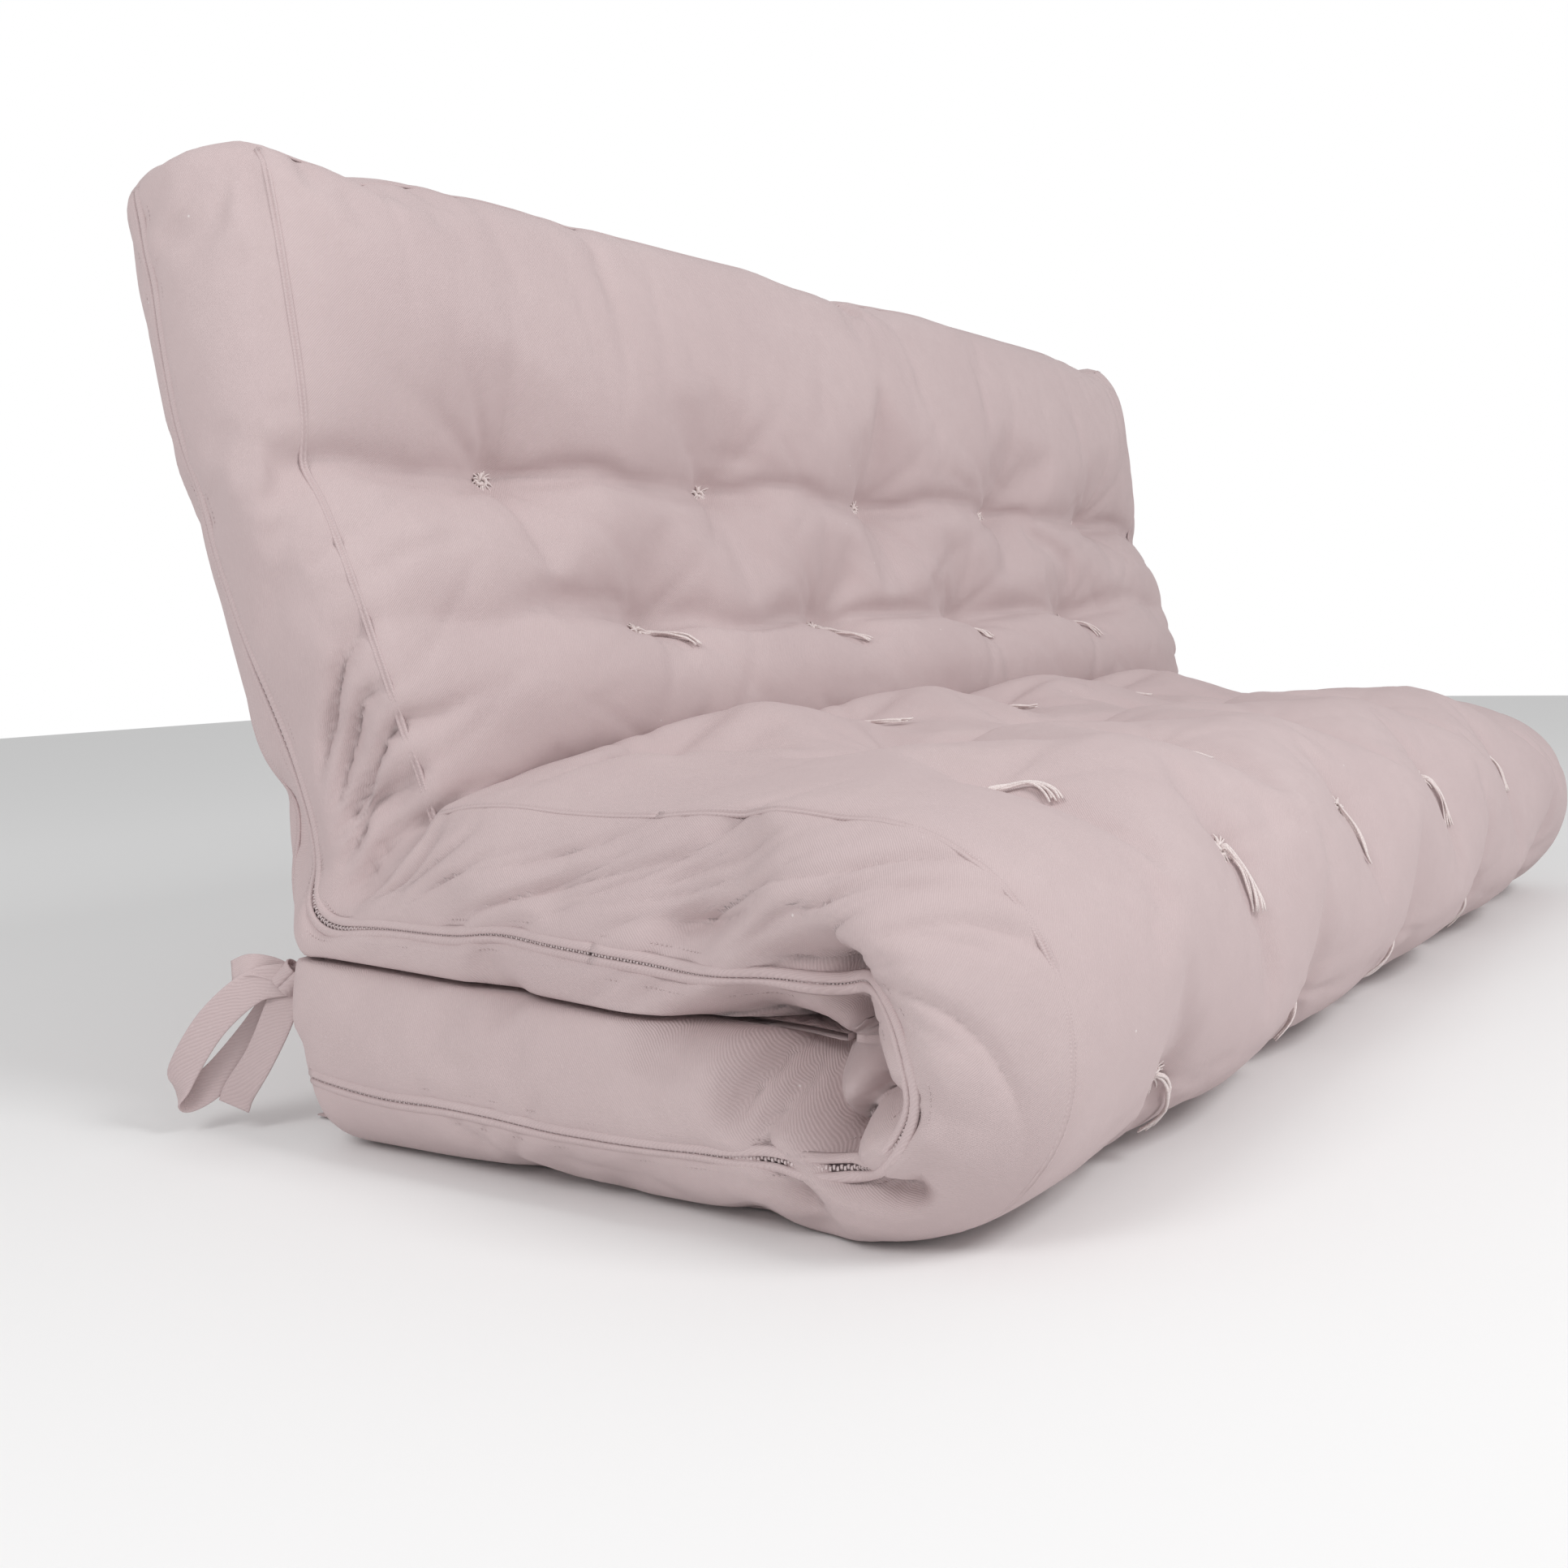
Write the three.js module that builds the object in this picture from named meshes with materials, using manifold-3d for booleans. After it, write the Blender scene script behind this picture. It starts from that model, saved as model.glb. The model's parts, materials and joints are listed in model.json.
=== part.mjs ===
// A tufted futon mattress, folded in three as a sofa: a seat on top of a lower section, joined by a
// rounded roll at the front, and a back that leans behind the seat. Millimetres, +X along the width,
// +Y from the front roll to the back, +Z up. The origin is on the floor, under the middle of the whole.
import * as THREE from "three";
import { mergeVertices } from "three/addons/utils/BufferGeometryUtils.js";
import Module from "manifold-3d";

// Driving dimensions
const width = 1800; // across the sofa, over the seam edges
const thickness = 145; // one section, face to face
const seatLength = 510; // from the roll's centre to the rear fold, along the underside of the seat
const backLength = 675; // from the rear fold to the top edge, along the rear face
const lean = 16; // degrees between the back and upright
const lowerSetBack = 9; // the lower section ends this far in front of the rear fold
const clothThick = 1.2; // woven cotton cover
const feltThick = 36; // each cotton felt batt
const seamLip = 8; // how far a face panel stands out past the boxing
const gap = 0.3; // between touching pieces
const zipHeight = 26; // both tapes and the coil
const zipThick = 1.6;
const twineRadius = 1.5;
const knotRadius = 6.5;
const knotHeight = 5;
const dimpleRadius = 9;
const dimpleDepth = 8;
const tapeWidth = 28; // tie tape
const bowReach = 112; // how far the bow hangs out behind the rear fold
const tuftPitch = 327; // between tufts in one row
const backRows = [250, 392]; // rows of tufts up the back, from the rear fold
const seatRows = [165, 330]; // rows of tufts along the seat, from the rear fold

// Worked out from them
const radians = THREE.MathUtils.degToRad;
const foldAngle = radians(90 - lean);
const mitre = Math.tan(foldAngle / 2);
const foldHeight = thickness + gap;
const rollRadius = foldHeight;
const rearCorner = backLength * Math.sin(radians(lean));
const depth = rollRadius + seatLength + rearCorner;
const rollCentre = -depth / 2 + rollRadius;
const foldLine = rollCentre + seatLength;
const lowerEnd = foldLine - lowerSetBack;
const foamThick = thickness - 2 * clothThick - 2 * feltThick - 4 * gap;
const halfWidth = width / 2;
const boxingOut = halfWidth - seamLip;
const fillOut = boxingOut - clothThick - gap;

const material = (color, roughness, metalness = 0) =>
  new THREE.MeshStandardMaterial({ color, roughness, metalness });
const materials = {
  cloth: () => material(0xc9b7b7, 0.95),
  felt: () => material(0xd9d4ca, 1),
  foam: () => material(0xefe8c8, 0.9),
  twine: () => material(0xdccbcb, 0.9),
  zip: () => material(0x9f8d8f, 0.7),
  metal: () => material(0x8d8688, 0.4, 0.9),
};

const wasm = await Module();
wasm.setup();

// A closed geometry as a manifold-3d solid, and back.
function toSolid(geometry) {
  const bare = geometry.clone();
  bare.deleteAttribute("normal");
  bare.deleteAttribute("uv");
  const merged = mergeVertices(bare, 1e-4);
  return new wasm.Manifold(
    new wasm.Mesh({
      numProp: 3,
      vertProperties: new Float32Array(merged.attributes.position.array),
      triVerts: new Uint32Array(merged.index.array),
    }),
  );
}

function toGeometry(solid) {
  const mesh = solid.getMesh();
  const geometry = new THREE.BufferGeometry();
  geometry.setAttribute("position", new THREE.BufferAttribute(mesh.vertProperties, 3));
  geometry.setIndex(new THREE.BufferAttribute(mesh.triVerts, 1));
  return geometry;
}

// A profile drawn in the YZ plane, drawn out along X.
function alongX(shape, fromX, toX) {
  const geometry = new THREE.ExtrudeGeometry(shape, {
    depth: toX - fromX,
    bevelEnabled: false,
    curveSegments: 10,
  });
  const turn = new THREE.Matrix4().makeBasis(
    new THREE.Vector3(0, 1, 0),
    new THREE.Vector3(0, 0, 1),
    new THREE.Vector3(1, 0, 0),
  );
  return geometry.applyMatrix4(turn).translate(fromX, 0, 0);
}

const polygon = (points) => new THREE.Shape(points.map(([y, z]) => new THREE.Vector2(y, z)));

function block(from, to) {
  const size = to.map((high, i) => high - from[i]);
  const middle = to.map((high, i) => (high + from[i]) / 2);
  return new THREE.BoxGeometry(...size).translate(...middle);
}

const part = new THREE.Group();

function addPiece(group, name, geometry, look) {
  const mesh = new THREE.Mesh(geometry, look());
  mesh.name = name;
  group.add(mesh);
}

// Each section lies flat in a group whose origin is on its fold line, at the height of the fold. A
// section's stack starts at the bottom with a face panel, then felt, foam, felt and the other face.
function stackOf() {
  const order = [
    ["face_bottom", clothThick, "cloth"],
    ["felt_bottom", feltThick, "felt"],
    ["foam_core", foamThick, "foam"],
    ["felt_top", feltThick, "felt"],
    ["face_top", clothThick, "cloth"],
  ];
  let low = 0;
  return order.map(([name, thick, look]) => {
    const layer = { name, low, high: low + thick, look };
    low += thick + gap;
    return layer;
  });
}

// Holes for the tuft twine, with the dimple that each knot sits in at both faces.
function tuftHoles(places) {
  const hole = (radius, low, high, x, y) =>
    new THREE.CylinderGeometry(radius, radius, high - low, 8)
      .rotateX(Math.PI / 2)
      .translate(x, y, (low + high) / 2);
  const tools = places.flatMap(([x, y]) => [
    hole(twineRadius + 2 * gap, -1, thickness + 1, x, y),
    hole(dimpleRadius, -1, dimpleDepth, x, y),
    hole(dimpleRadius, thickness - dimpleDepth, thickness + 1, x, y),
  ]);
  return tools.map(toSolid).reduce((sum, tool) => sum.add(tool));
}

// One tuft: twine through the mattress with a flattened knot at each face.
function tuftGeometry() {
  const stand = gap * 2;
  const inner = dimpleDepth - stand - knotHeight;
  const low = inner;
  const high = thickness - inner;
  const profile = [
    [0, low],
    [knotRadius * 0.8, low + 0.5],
    [knotRadius, low + knotHeight / 2],
    [twineRadius, low + knotHeight],
    [twineRadius, high - knotHeight],
    [knotRadius, high - knotHeight / 2],
    [knotRadius * 0.8, high - 0.5],
    [0, high],
  ];
  return new THREE.LatheGeometry(profile.map(([r, z]) => new THREE.Vector2(r, z)), 8)
    .rotateX(Math.PI / 2);
}

// Tuft places in a section: rows along Y that alternate between five tufts and four.
function tuftPlaces(rows) {
  return rows.flatMap(([y, count]) =>
    Array.from({ length: count }, (_, i) => [(i - (count - 1) / 2) * tuftPitch, y]),
  );
}

// A flat section of the mattress. start and end are how far along Y it runs at its lower face, and
// startSlope and endSlope how far each end moves along Y for each millimetre up.
function addSection(group, name, { start, end, startSlope, endSlope, rows, endCloth }) {
  const profile = (low, high, startAt, endAt) =>
    polygon([
      [startAt + low * startSlope, low],
      [endAt + low * endSlope, low],
      [endAt + high * endSlope, high],
      [startAt + high * startSlope, high],
    ]);
  const closed = clothThick + gap;
  const fillStart = start + (endCloth === "start" ? closed : 0);
  const fillEnd = end - (endCloth === "end" ? closed : 0);
  const places = tuftPlaces(rows);
  const holes = places.length ? tuftHoles(places) : null;
  const layers = stackOf();

  for (const { name: layer, low, high, look } of layers) {
    const isFace = look === "cloth";
    const out = isFace ? halfWidth : fillOut;
    const from = isFace ? start : fillStart;
    const to = isFace ? end : fillEnd;
    const plate = toSolid(alongX(profile(low, high, from, to), -out, out));
    const cut = holes ? plate.subtract(holes) : plate;
    addPiece(group, `${name}_${layer}`, toGeometry(cut), materials[look]);
  }

  // Boxing closes the sides. On the left it is two strips with the zip between them.
  const boxLow = layers[0].high + gap;
  const boxHigh = layers[4].low - gap;
  const zipLow = (thickness - zipHeight) / 2;
  const zipHigh = zipLow + zipHeight;
  const strips = [
    ["boxing_right", boxLow, boxHigh, boxingOut - clothThick, boxingOut, "cloth"],
    ["boxing_left_upper", zipHigh + gap, boxHigh, -boxingOut, clothThick - boxingOut, "cloth"],
    ["boxing_left_lower", boxLow, zipLow - gap, -boxingOut, clothThick - boxingOut, "cloth"],
    ["zip", zipLow, zipHigh, clothThick - boxingOut - zipThick, clothThick - boxingOut, "zip"],
  ];
  for (const [strip, low, high, fromX, toX, look] of strips) {
    const geometry = alongX(profile(low, high, fillStart, fillEnd), fromX, toX);
    addPiece(group, `${name}_${strip}`, geometry, materials[look]);
  }

  // The free end of the back and of the lower section is closed by a strip of its own.
  if (endCloth) {
    const from = endCloth === "start" ? start : end - clothThick;
    const strip = block([-boxingOut, from, boxLow], [boxingOut, from + clothThick, boxHigh]);
    addPiece(group, `${name}_boxing_end`, strip, materials.cloth);
  }

  places.forEach(([x, y], i) => {
    addPiece(group, `${name}_tuft_${i + 1}`, tuftGeometry().translate(x, y, 0), materials.twine);
  });
}

// The seat lies on the lower section, and its underside meets the fold line at the rear.
const seat = new THREE.Group();
seat.position.set(0, foldLine, foldHeight + gap);
addSection(seat, "seat", {
  start: -seatLength,
  end: -gap,
  startSlope: 0,
  endSlope: -mitre,
  rows: [
    [-seatRows[0], 5],
    [-seatRows[1], 4],
  ],
});
part.add(seat);

// The back is made lying flat behind the fold line, then turned up about it.
const back = new THREE.Group();
back.position.set(0, foldLine, foldHeight);
back.rotation.x = foldAngle;
const backFlat = new THREE.Group();
backFlat.position.z = gap;
addSection(backFlat, "back", {
  start: gap,
  end: backLength,
  startSlope: mitre,
  endSlope: 0,
  rows: [
    [backRows[0], 4],
    [backRows[1], 5],
  ],
  endCloth: "end",
});
back.add(backFlat);
part.add(back);

// The lower section rests on the floor.
const lower = new THREE.Group();
addSection(lower, "lower", {
  start: rollCentre,
  end: lowerEnd,
  startSlope: 0,
  endSlope: 0,
  rows: [],
  endCloth: "end",
});
part.add(lower);

// The front roll: a quarter round of filling and of cover above the fold, and the same below it.
function quarterRound(radius, side, reach) {
  const edgeY = rollCentre - gap + reach;
  const edgeZ = foldHeight + side * (gap - reach);
  const shape = new THREE.Shape();
  const steps = 12;
  const rim = Array.from({ length: steps + 1 }, (_, i) => {
    const turn = (i / steps) * (Math.PI / 2);
    return [rollCentre - radius * Math.cos(turn), foldHeight + side * radius * Math.sin(turn)];
  });
  rim[0][1] = edgeZ;
  rim[steps][0] = edgeY;
  const outline = [[edgeY, edgeZ], ...rim];
  if (side > 0) outline.reverse();
  outline.forEach(([y, z], i) => (i ? shape.lineTo(y, z) : shape.moveTo(y, z)));
  return shape;
}

for (const [side, half] of [
  [1, "upper"],
  [-1, "lower"],
]) {
  const outer = toSolid(alongX(quarterRound(rollRadius, side, 0), -halfWidth, halfWidth));
  const innerRadius = rollRadius - clothThick;
  const innerWidth = halfWidth - clothThick;
  const hollow = toSolid(alongX(quarterRound(innerRadius, side, 5), -innerWidth, innerWidth));
  addPiece(part, `roll_cover_${half}`, toGeometry(outer.subtract(hollow)), materials.cloth);
  const fillRadius = innerRadius - gap;
  const fill = alongX(quarterRound(fillRadius, side, 0), gap - innerWidth, innerWidth - gap);
  addPiece(part, `roll_fill_${half}`, fill, materials.felt);
}

// The zip slider rides on the lower section's zip. A bridge arches over it, and the crossbar of the
// pull tab turns under that bridge, so that the tab swings from one end of the slider to the other.
const zipPlane = clothThick - boxingOut - zipThick; // outer face of the zip
const sliderY = lowerEnd - 40;
const sliderZ = thickness / 2;
const sliderFace = zipPlane - gap - 2.6;
const bridgeRise = 3.3;
const bridgeThick = 0.8;
const bridgeReach = 4.05; // from the middle of the bridge to the outside of a leg
const bridgeHalf = 0.9;
const pullThick = 1.2;
const pullAxis = sliderFace - (bridgeRise - bridgeThick) / 2;
const sliderBlocks = [
  block([sliderFace, sliderY - 6, sliderZ - 5], [zipPlane - gap, sliderY + 6, sliderZ + 5]),
  block(
    [sliderFace - bridgeRise, sliderY - bridgeReach, sliderZ - bridgeHalf],
    [sliderFace - bridgeRise + bridgeThick, sliderY + bridgeReach, sliderZ + bridgeHalf],
  ),
  ...[-bridgeReach, bridgeReach - 0.9].map((y) =>
    block(
      [sliderFace - bridgeRise, sliderY + y, sliderZ - bridgeHalf],
      [sliderFace + 0.5, sliderY + y + 0.9, sliderZ + bridgeHalf],
    ),
  ),
];
const slider = sliderBlocks.map(toSolid).reduce((sum, piece) => sum.add(piece));
addPiece(part, "zip_slider", toGeometry(slider), materials.metal);

const pullLength = 24;
const pullOutline = polygon([
  [sliderY - 0.8, sliderZ - 3],
  [sliderY + pullLength, sliderZ - 4],
  [sliderY + pullLength, sliderZ + 4],
  [sliderY - 0.8, sliderZ + 3],
]);
const pullEye = [
  [sliderY + 0.8, sliderZ - 1.6],
  [sliderY + 0.8, sliderZ + 1.6],
  [sliderY + 5.4, sliderZ + 1.6],
  [sliderY + 5.4, sliderZ - 1.6],
];
pullOutline.holes.push(new THREE.Path(pullEye.map(([y, z]) => new THREE.Vector2(y, z))));
const pull = alongX(pullOutline, pullAxis - pullThick / 2, pullAxis + pullThick / 2);
addPiece(part, "zip_pull", pull, materials.metal);

// Ties of folded tape: a bow that hangs from the rear fold at each end, and a short end under the
// rear edge of the lower section.
function bowOutline() {
  const y = foldLine + gap + 1;
  const top = foldHeight - 8;
  const shape = new THREE.Shape();
  shape.moveTo(y, top);
  shape.lineTo(y, top - tapeWidth);
  shape.lineTo(y + 18, top - tapeWidth - 6);
  shape.quadraticCurveTo(y + 30, top - 90, y + bowReach - tapeWidth, top - 118);
  shape.lineTo(y + bowReach, top - 122);
  shape.quadraticCurveTo(y + 90, top - 60, y + 46, top - 14);
  shape.lineTo(y + 40, top - 4);
  shape.closePath();
  return shape;
}

const tapeThick = 4;
for (const [side, hand] of [
  [-1, "left"],
  [1, "right"],
]) {
  const bowX = side * (halfWidth - 14) - tapeThick / 2;
  addPiece(part, `tie_bow_${hand}`, alongX(bowOutline(), bowX, bowX + tapeThick), materials.cloth);
  const endX = side * (halfWidth - 60);
  const tail = block(
    [endX - tapeWidth / 2, lowerEnd + gap, 0],
    [endX + tapeWidth / 2, lowerEnd + gap + 70, 2.4],
  );
  addPiece(part, `tie_end_${hand}`, tail, materials.cloth);
}

export default part;
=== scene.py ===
# %% [markdown]
# A futon mattress folded in three, so that it serves as a sofa. One long tufted pad turns round a
# soft roll at the front and bends up behind the seat, where it leans back. The CAD frame gives every
# place and size. Here the pad gets its cloth: crowned panels, valleys between the tufts, crumpled
# folds, seams, a zip, knotted twine and tie tapes.

# %% Load the frame
import json
import math
import time

import bpy
import numpy as np
from mathutils import Matrix, Vector
from mathutils.bvhtree import BVHTree
from mathutils.interpolate import poly_3d_calc


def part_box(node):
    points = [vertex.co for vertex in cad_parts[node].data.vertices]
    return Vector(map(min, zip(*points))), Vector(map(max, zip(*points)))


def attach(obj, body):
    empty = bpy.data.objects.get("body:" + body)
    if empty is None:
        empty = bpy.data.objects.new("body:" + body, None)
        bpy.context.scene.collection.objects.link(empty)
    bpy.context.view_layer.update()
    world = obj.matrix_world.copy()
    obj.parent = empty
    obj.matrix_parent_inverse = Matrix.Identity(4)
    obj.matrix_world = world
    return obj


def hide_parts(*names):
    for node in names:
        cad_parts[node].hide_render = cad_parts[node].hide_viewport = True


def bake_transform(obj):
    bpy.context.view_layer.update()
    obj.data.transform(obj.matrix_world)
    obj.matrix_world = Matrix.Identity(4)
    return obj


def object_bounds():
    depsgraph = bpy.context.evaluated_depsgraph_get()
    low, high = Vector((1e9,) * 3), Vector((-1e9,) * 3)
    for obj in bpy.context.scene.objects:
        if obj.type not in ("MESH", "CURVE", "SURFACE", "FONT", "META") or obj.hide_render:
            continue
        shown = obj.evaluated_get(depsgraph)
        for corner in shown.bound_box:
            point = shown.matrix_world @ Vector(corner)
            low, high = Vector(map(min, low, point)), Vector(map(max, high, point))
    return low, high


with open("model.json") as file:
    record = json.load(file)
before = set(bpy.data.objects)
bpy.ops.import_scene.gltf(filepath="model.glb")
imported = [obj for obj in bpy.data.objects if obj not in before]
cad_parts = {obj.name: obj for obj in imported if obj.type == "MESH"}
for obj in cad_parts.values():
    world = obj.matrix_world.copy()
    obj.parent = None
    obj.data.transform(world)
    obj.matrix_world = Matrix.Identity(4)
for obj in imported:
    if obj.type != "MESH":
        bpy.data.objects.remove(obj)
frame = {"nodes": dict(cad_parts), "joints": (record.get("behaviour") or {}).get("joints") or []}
cad_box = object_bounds()
joints = {joint["name"]: joint for joint in frame["joints"]}
bpy.ops.object.select_all(action="DESELECT")
print("CAD box", [tuple(round(v, 3) for v in corner) for corner in cad_box])

# %% [markdown]
# The sizes of the three sections come from the CAD pieces. The fold line is the axis on which the
# back folds down, and the roll's centre is where the straight layers end.

# %% Sizes from the frame
fold_y, fold_z = joints["back_fold"]["pos_m"][1:]
lean = math.radians(90 - joints["back_fold"]["range_deg"][1])
half_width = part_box("lower_face_bottom")[1].x
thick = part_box("lower_face_top")[1].z
roll_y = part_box("lower_face_bottom")[0].y
lower_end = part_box("lower_face_bottom")[1].y
seat_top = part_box("seat_face_top")[1].z
back_length = (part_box("back_face_bottom")[1].z - fold_z) / math.cos(lean)
print(f"fold at y {fold_y:.3f} z {fold_z:.3f}, section {thick:.3f} thick, back {back_length:.3f} long")

# %% [markdown]
# The camera stands close to the near end of the sofa, a little above the seat, and looks along it
# with a wide view, so the near end is large and the far end small.

# %% Camera
camera_data = bpy.data.cameras.new("camera")
camera_data.sensor_width = 36.0
camera_data.lens = 39.5
camera_data.clip_end = 50.0
camera = bpy.data.objects.new("camera", camera_data)
bpy.context.scene.collection.objects.link(camera)
camera.location = (-1.840, -0.868, 0.410)
heading = math.radians(33.87)  # from +X towards +Y
pitch = math.radians(-5.07)
roll = math.radians(-1.68)
look = Vector(
    (math.cos(pitch) * math.cos(heading), math.cos(pitch) * math.sin(heading), math.sin(pitch))
)
turn = look.to_track_quat("-Z", "Y").to_matrix() @ Matrix.Rotation(roll, 3, "Z")
camera.rotation_euler = turn.to_euler()
bpy.context.scene.camera = camera
print("camera at", tuple(camera.location))

# %% [markdown]
# Seen from the side, the pad is bounded by two lines. The face line runs down the front of the back,
# into the rear crease, along the seat, round the roll and under the lower section. The other line
# runs down behind the back, round the outer corner, under the seat, round a tight turn inside the
# roll and back over the lower section. Both are walked together, leg by leg, so that a station on
# one belongs to a station on the other, and both are softened by a moving average.

# %% The two side lines
up_back = np.array([math.sin(lean), math.cos(lean)])
face_out = np.array([-math.cos(lean), math.sin(lean)])
outer_corner = np.array([fold_y, fold_z])
mitre = math.tan(math.radians(joints["back_fold"]["range_deg"][1]) / 2)
inner_corner = np.array([fold_y - thick * mitre, seat_top])
crease_depth = 0.32  # how far the crease runs in towards the outer corner, as a share
crease = inner_corner + crease_depth * (outer_corner - inner_corner)
top_front = outer_corner + back_length * up_back + thick * face_out
top_rear = outer_corner + back_length * up_back
turn_gap = 0.0016  # half the gap between the seat and the lower section
roll_inner_y = roll_y + 0.012
roll_radius = seat_top - fold_z
LEGS = ("back", "seat", "roll", "lower")
STATIONS = {"back": 50, "seat": 38, "roll": 50, "lower": 38}


def leg(start, end, count=400):
    share = np.linspace(0, 1, count)[:, None]
    return np.array(start) * (1 - share) + np.array(end) * share


def half_turn(centre, radius, count=400):
    angle = np.linspace(0, math.pi, count)
    return np.stack([centre[0] - radius * np.sin(angle), centre[1] + radius * np.cos(angle)], 1)


def soften(legs, spread):
    """Joins the legs into one line of points, one millimetre apart before it is averaged."""
    points, place = [], []
    for number, line in enumerate(legs):
        length = np.linalg.norm(np.diff(line, axis=0), axis=1).sum()
        count = max(8, int(length / 0.001))
        along = np.linspace(0, len(line) - 1, count, endpoint=number == len(legs) - 1)
        points.append(np.stack([np.interp(along, range(len(line)), line[:, k]) for k in (0, 1)], 1))
        place.append(number + along / (len(line) - 1))
    points, place = np.concatenate(points), np.concatenate(place)
    pad = int(4 * spread / 0.001) + 1
    before = points[0] + (points[0] - points[1]) * np.arange(pad, 0, -1)[:, None]
    after = points[-1] + (points[-1] - points[-2]) * np.arange(1, pad + 1)[:, None]
    padded = np.concatenate([before, points, after])
    weight = np.exp(-0.5 * (np.arange(-pad, pad + 1) * 0.001 / spread) ** 2)
    weight /= weight.sum()
    smooth = np.stack([np.convolve(padded[:, k], weight, "same")[pad:-pad] for k in (0, 1)], 1)
    return smooth, place


face_legs = [
    leg(top_front, crease),
    leg(crease, (roll_y, seat_top)),
    half_turn((roll_y, fold_z), roll_radius),
    leg((roll_y, fold_z - roll_radius), (lower_end, fold_z - roll_radius)),
]
rear_legs = [
    leg(top_rear, outer_corner),
    leg(outer_corner + (0, turn_gap), (roll_inner_y, fold_z + turn_gap)),
    half_turn((roll_inner_y, fold_z), turn_gap),
    leg((roll_inner_y, fold_z - turn_gap), (lower_end, fold_z - turn_gap)),
]
face_line, face_place = soften(face_legs, 0.005)
rear_line, rear_place = soften(rear_legs, 0.014)
station_place = np.concatenate(
    [number + np.arange(STATIONS[name]) / STATIONS[name] for number, name in enumerate(LEGS)]
    + [[len(LEGS)]]
)


def at_place(line, place, wanted):
    return np.stack([np.interp(wanted, place, line[:, k]) for k in (0, 1)], -1)


def lengths_along(line, place, wanted):
    along = np.concatenate([[0], np.cumsum(np.linalg.norm(np.diff(line, axis=0), axis=1))])
    return np.interp(wanted, place, along)


face_run = lengths_along(face_line, face_place, station_place)
rear_run = lengths_along(rear_line, rear_place, station_place)
mid_line = (at_place(face_line, face_place, station_place)
            + at_place(rear_line, rear_place, station_place)) / 2
mid_run = np.concatenate([[0], np.cumsum(np.linalg.norm(np.diff(mid_line, axis=0), axis=1))])
pad_length = mid_run[-1]
print(f"face line {face_run[-1]:.3f} m, other line {rear_run[-1]:.3f} m, middle {pad_length:.3f} m")

# %% [markdown]
# The pad starts as a box drawn on flat cloth: long way a, width b and thickness c. Its edges are
# rounded, and only then is it bent along the side lines. Because every point keeps its flat place,
# the tufts, valleys, seams and weave can all be laid out on the flat cloth.

# %% The flat pad and how it bends
THROUGH = 16
fine_reach = 0.25  # the stretch at each end, in metres, where the mesh is finer
across_places = np.concatenate(
    [
        np.linspace(-half_width, fine_reach - half_width, 29)[:-1],
        np.linspace(fine_reach - half_width, half_width - fine_reach, 87),
        np.linspace(half_width - fine_reach, half_width, 29)[1:],
    ]
)
ACROSS = len(across_places) - 1
end_round = 0.032  # how far the rounding reaches along the pad at its free ends
face_round = (0.056, 0.068)  # across and through, between the boxing and the face panel
bottom_round = (0.036, 0.034)  # the same under the lower section, pressed flat by the load
under_round = (0.010, 0.007)  # the same where the layers press on each other
rear_round = (0.045, 0.050)  # the same behind the back, where the cloth is free


def box_grid(n_a, n_b, n_c):
    """Indices of the points on the skin of a grid box, and its outward quads."""
    index = -np.ones((n_a + 1, n_b + 1, n_c + 1), int)
    i, j, k = np.indices(index.shape)
    skin = (i == 0) | (i == n_a) | (j == 0) | (j == n_b) | (k == 0) | (k == n_c)
    index[skin] = np.arange(skin.sum())
    place = np.stack([i[skin], j[skin], k[skin]], 1)
    quads = []

    def side(sheet, flip):
        corners = [sheet[:-1, :-1], sheet[1:, :-1], sheet[1:, 1:], sheet[:-1, 1:]]
        face = np.stack([c.ravel() for c in corners], 1)
        quads.append(face[:, ::-1] if flip else face)

    side(index[:, :, -1], False)
    side(index[:, :, 0], True)
    side(index[:, -1, :], True)
    side(index[:, 0, :], False)
    side(index[-1, :, :], False)
    side(index[0, :, :], True)
    return place, np.concatenate(quads)


grid_place, quads = box_grid(len(station_place) - 1, ACROSS, THROUGH)
flat = np.stack(
    [
        mid_run[grid_place[:, 0]],
        across_places[grid_place[:, 1]],
        (grid_place[:, 2] / THROUGH - 0.5) * thick,
    ],
    1,
)


def round_off(places):
    """From places on the sharp flat box to places on the rounded one."""
    station = np.interp(places[:, 0], mid_run, station_place)
    free_share = np.clip((1.06 - station) / 0.12, 0, 1)[:, None]
    under = np.array(rear_round) * free_share + np.array(under_round) * (1 - free_share)
    bottom = np.clip((station - 2.7) / 0.3, 0, 1)[:, None]
    upper = np.array(face_round) * (1 - bottom) + np.array(bottom_round) * bottom
    on_face_side = (places[:, 2] > (under[:, 1] - upper[:, 1]) / 2)[:, None]
    reach = np.where(on_face_side, upper, under)
    radii = np.concatenate([np.full((len(places), 1), end_round), reach], 1)
    low = np.array([0, -half_width, -thick / 2])
    high = np.array([pad_length, half_width, thick / 2])
    core = np.clip(places, low + radii, high - radii)
    away = (places - core) / radii
    away /= np.maximum(np.linalg.norm(away, axis=1), 1e-9)[:, None]
    return core + radii * away


rounded = round_off(flat)


def bend(points):
    """From rounded flat places to the folded pad."""
    place = np.interp(points[:, 0], mid_run, station_place)
    face = at_place(face_line, face_place, place)
    rear = at_place(rear_line, rear_place, place)
    share = (points[:, 2] / thick + 0.5)[:, None]
    side = rear * (1 - share) + face * share
    return np.concatenate([points[:, 1:2], side], 1)


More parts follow.
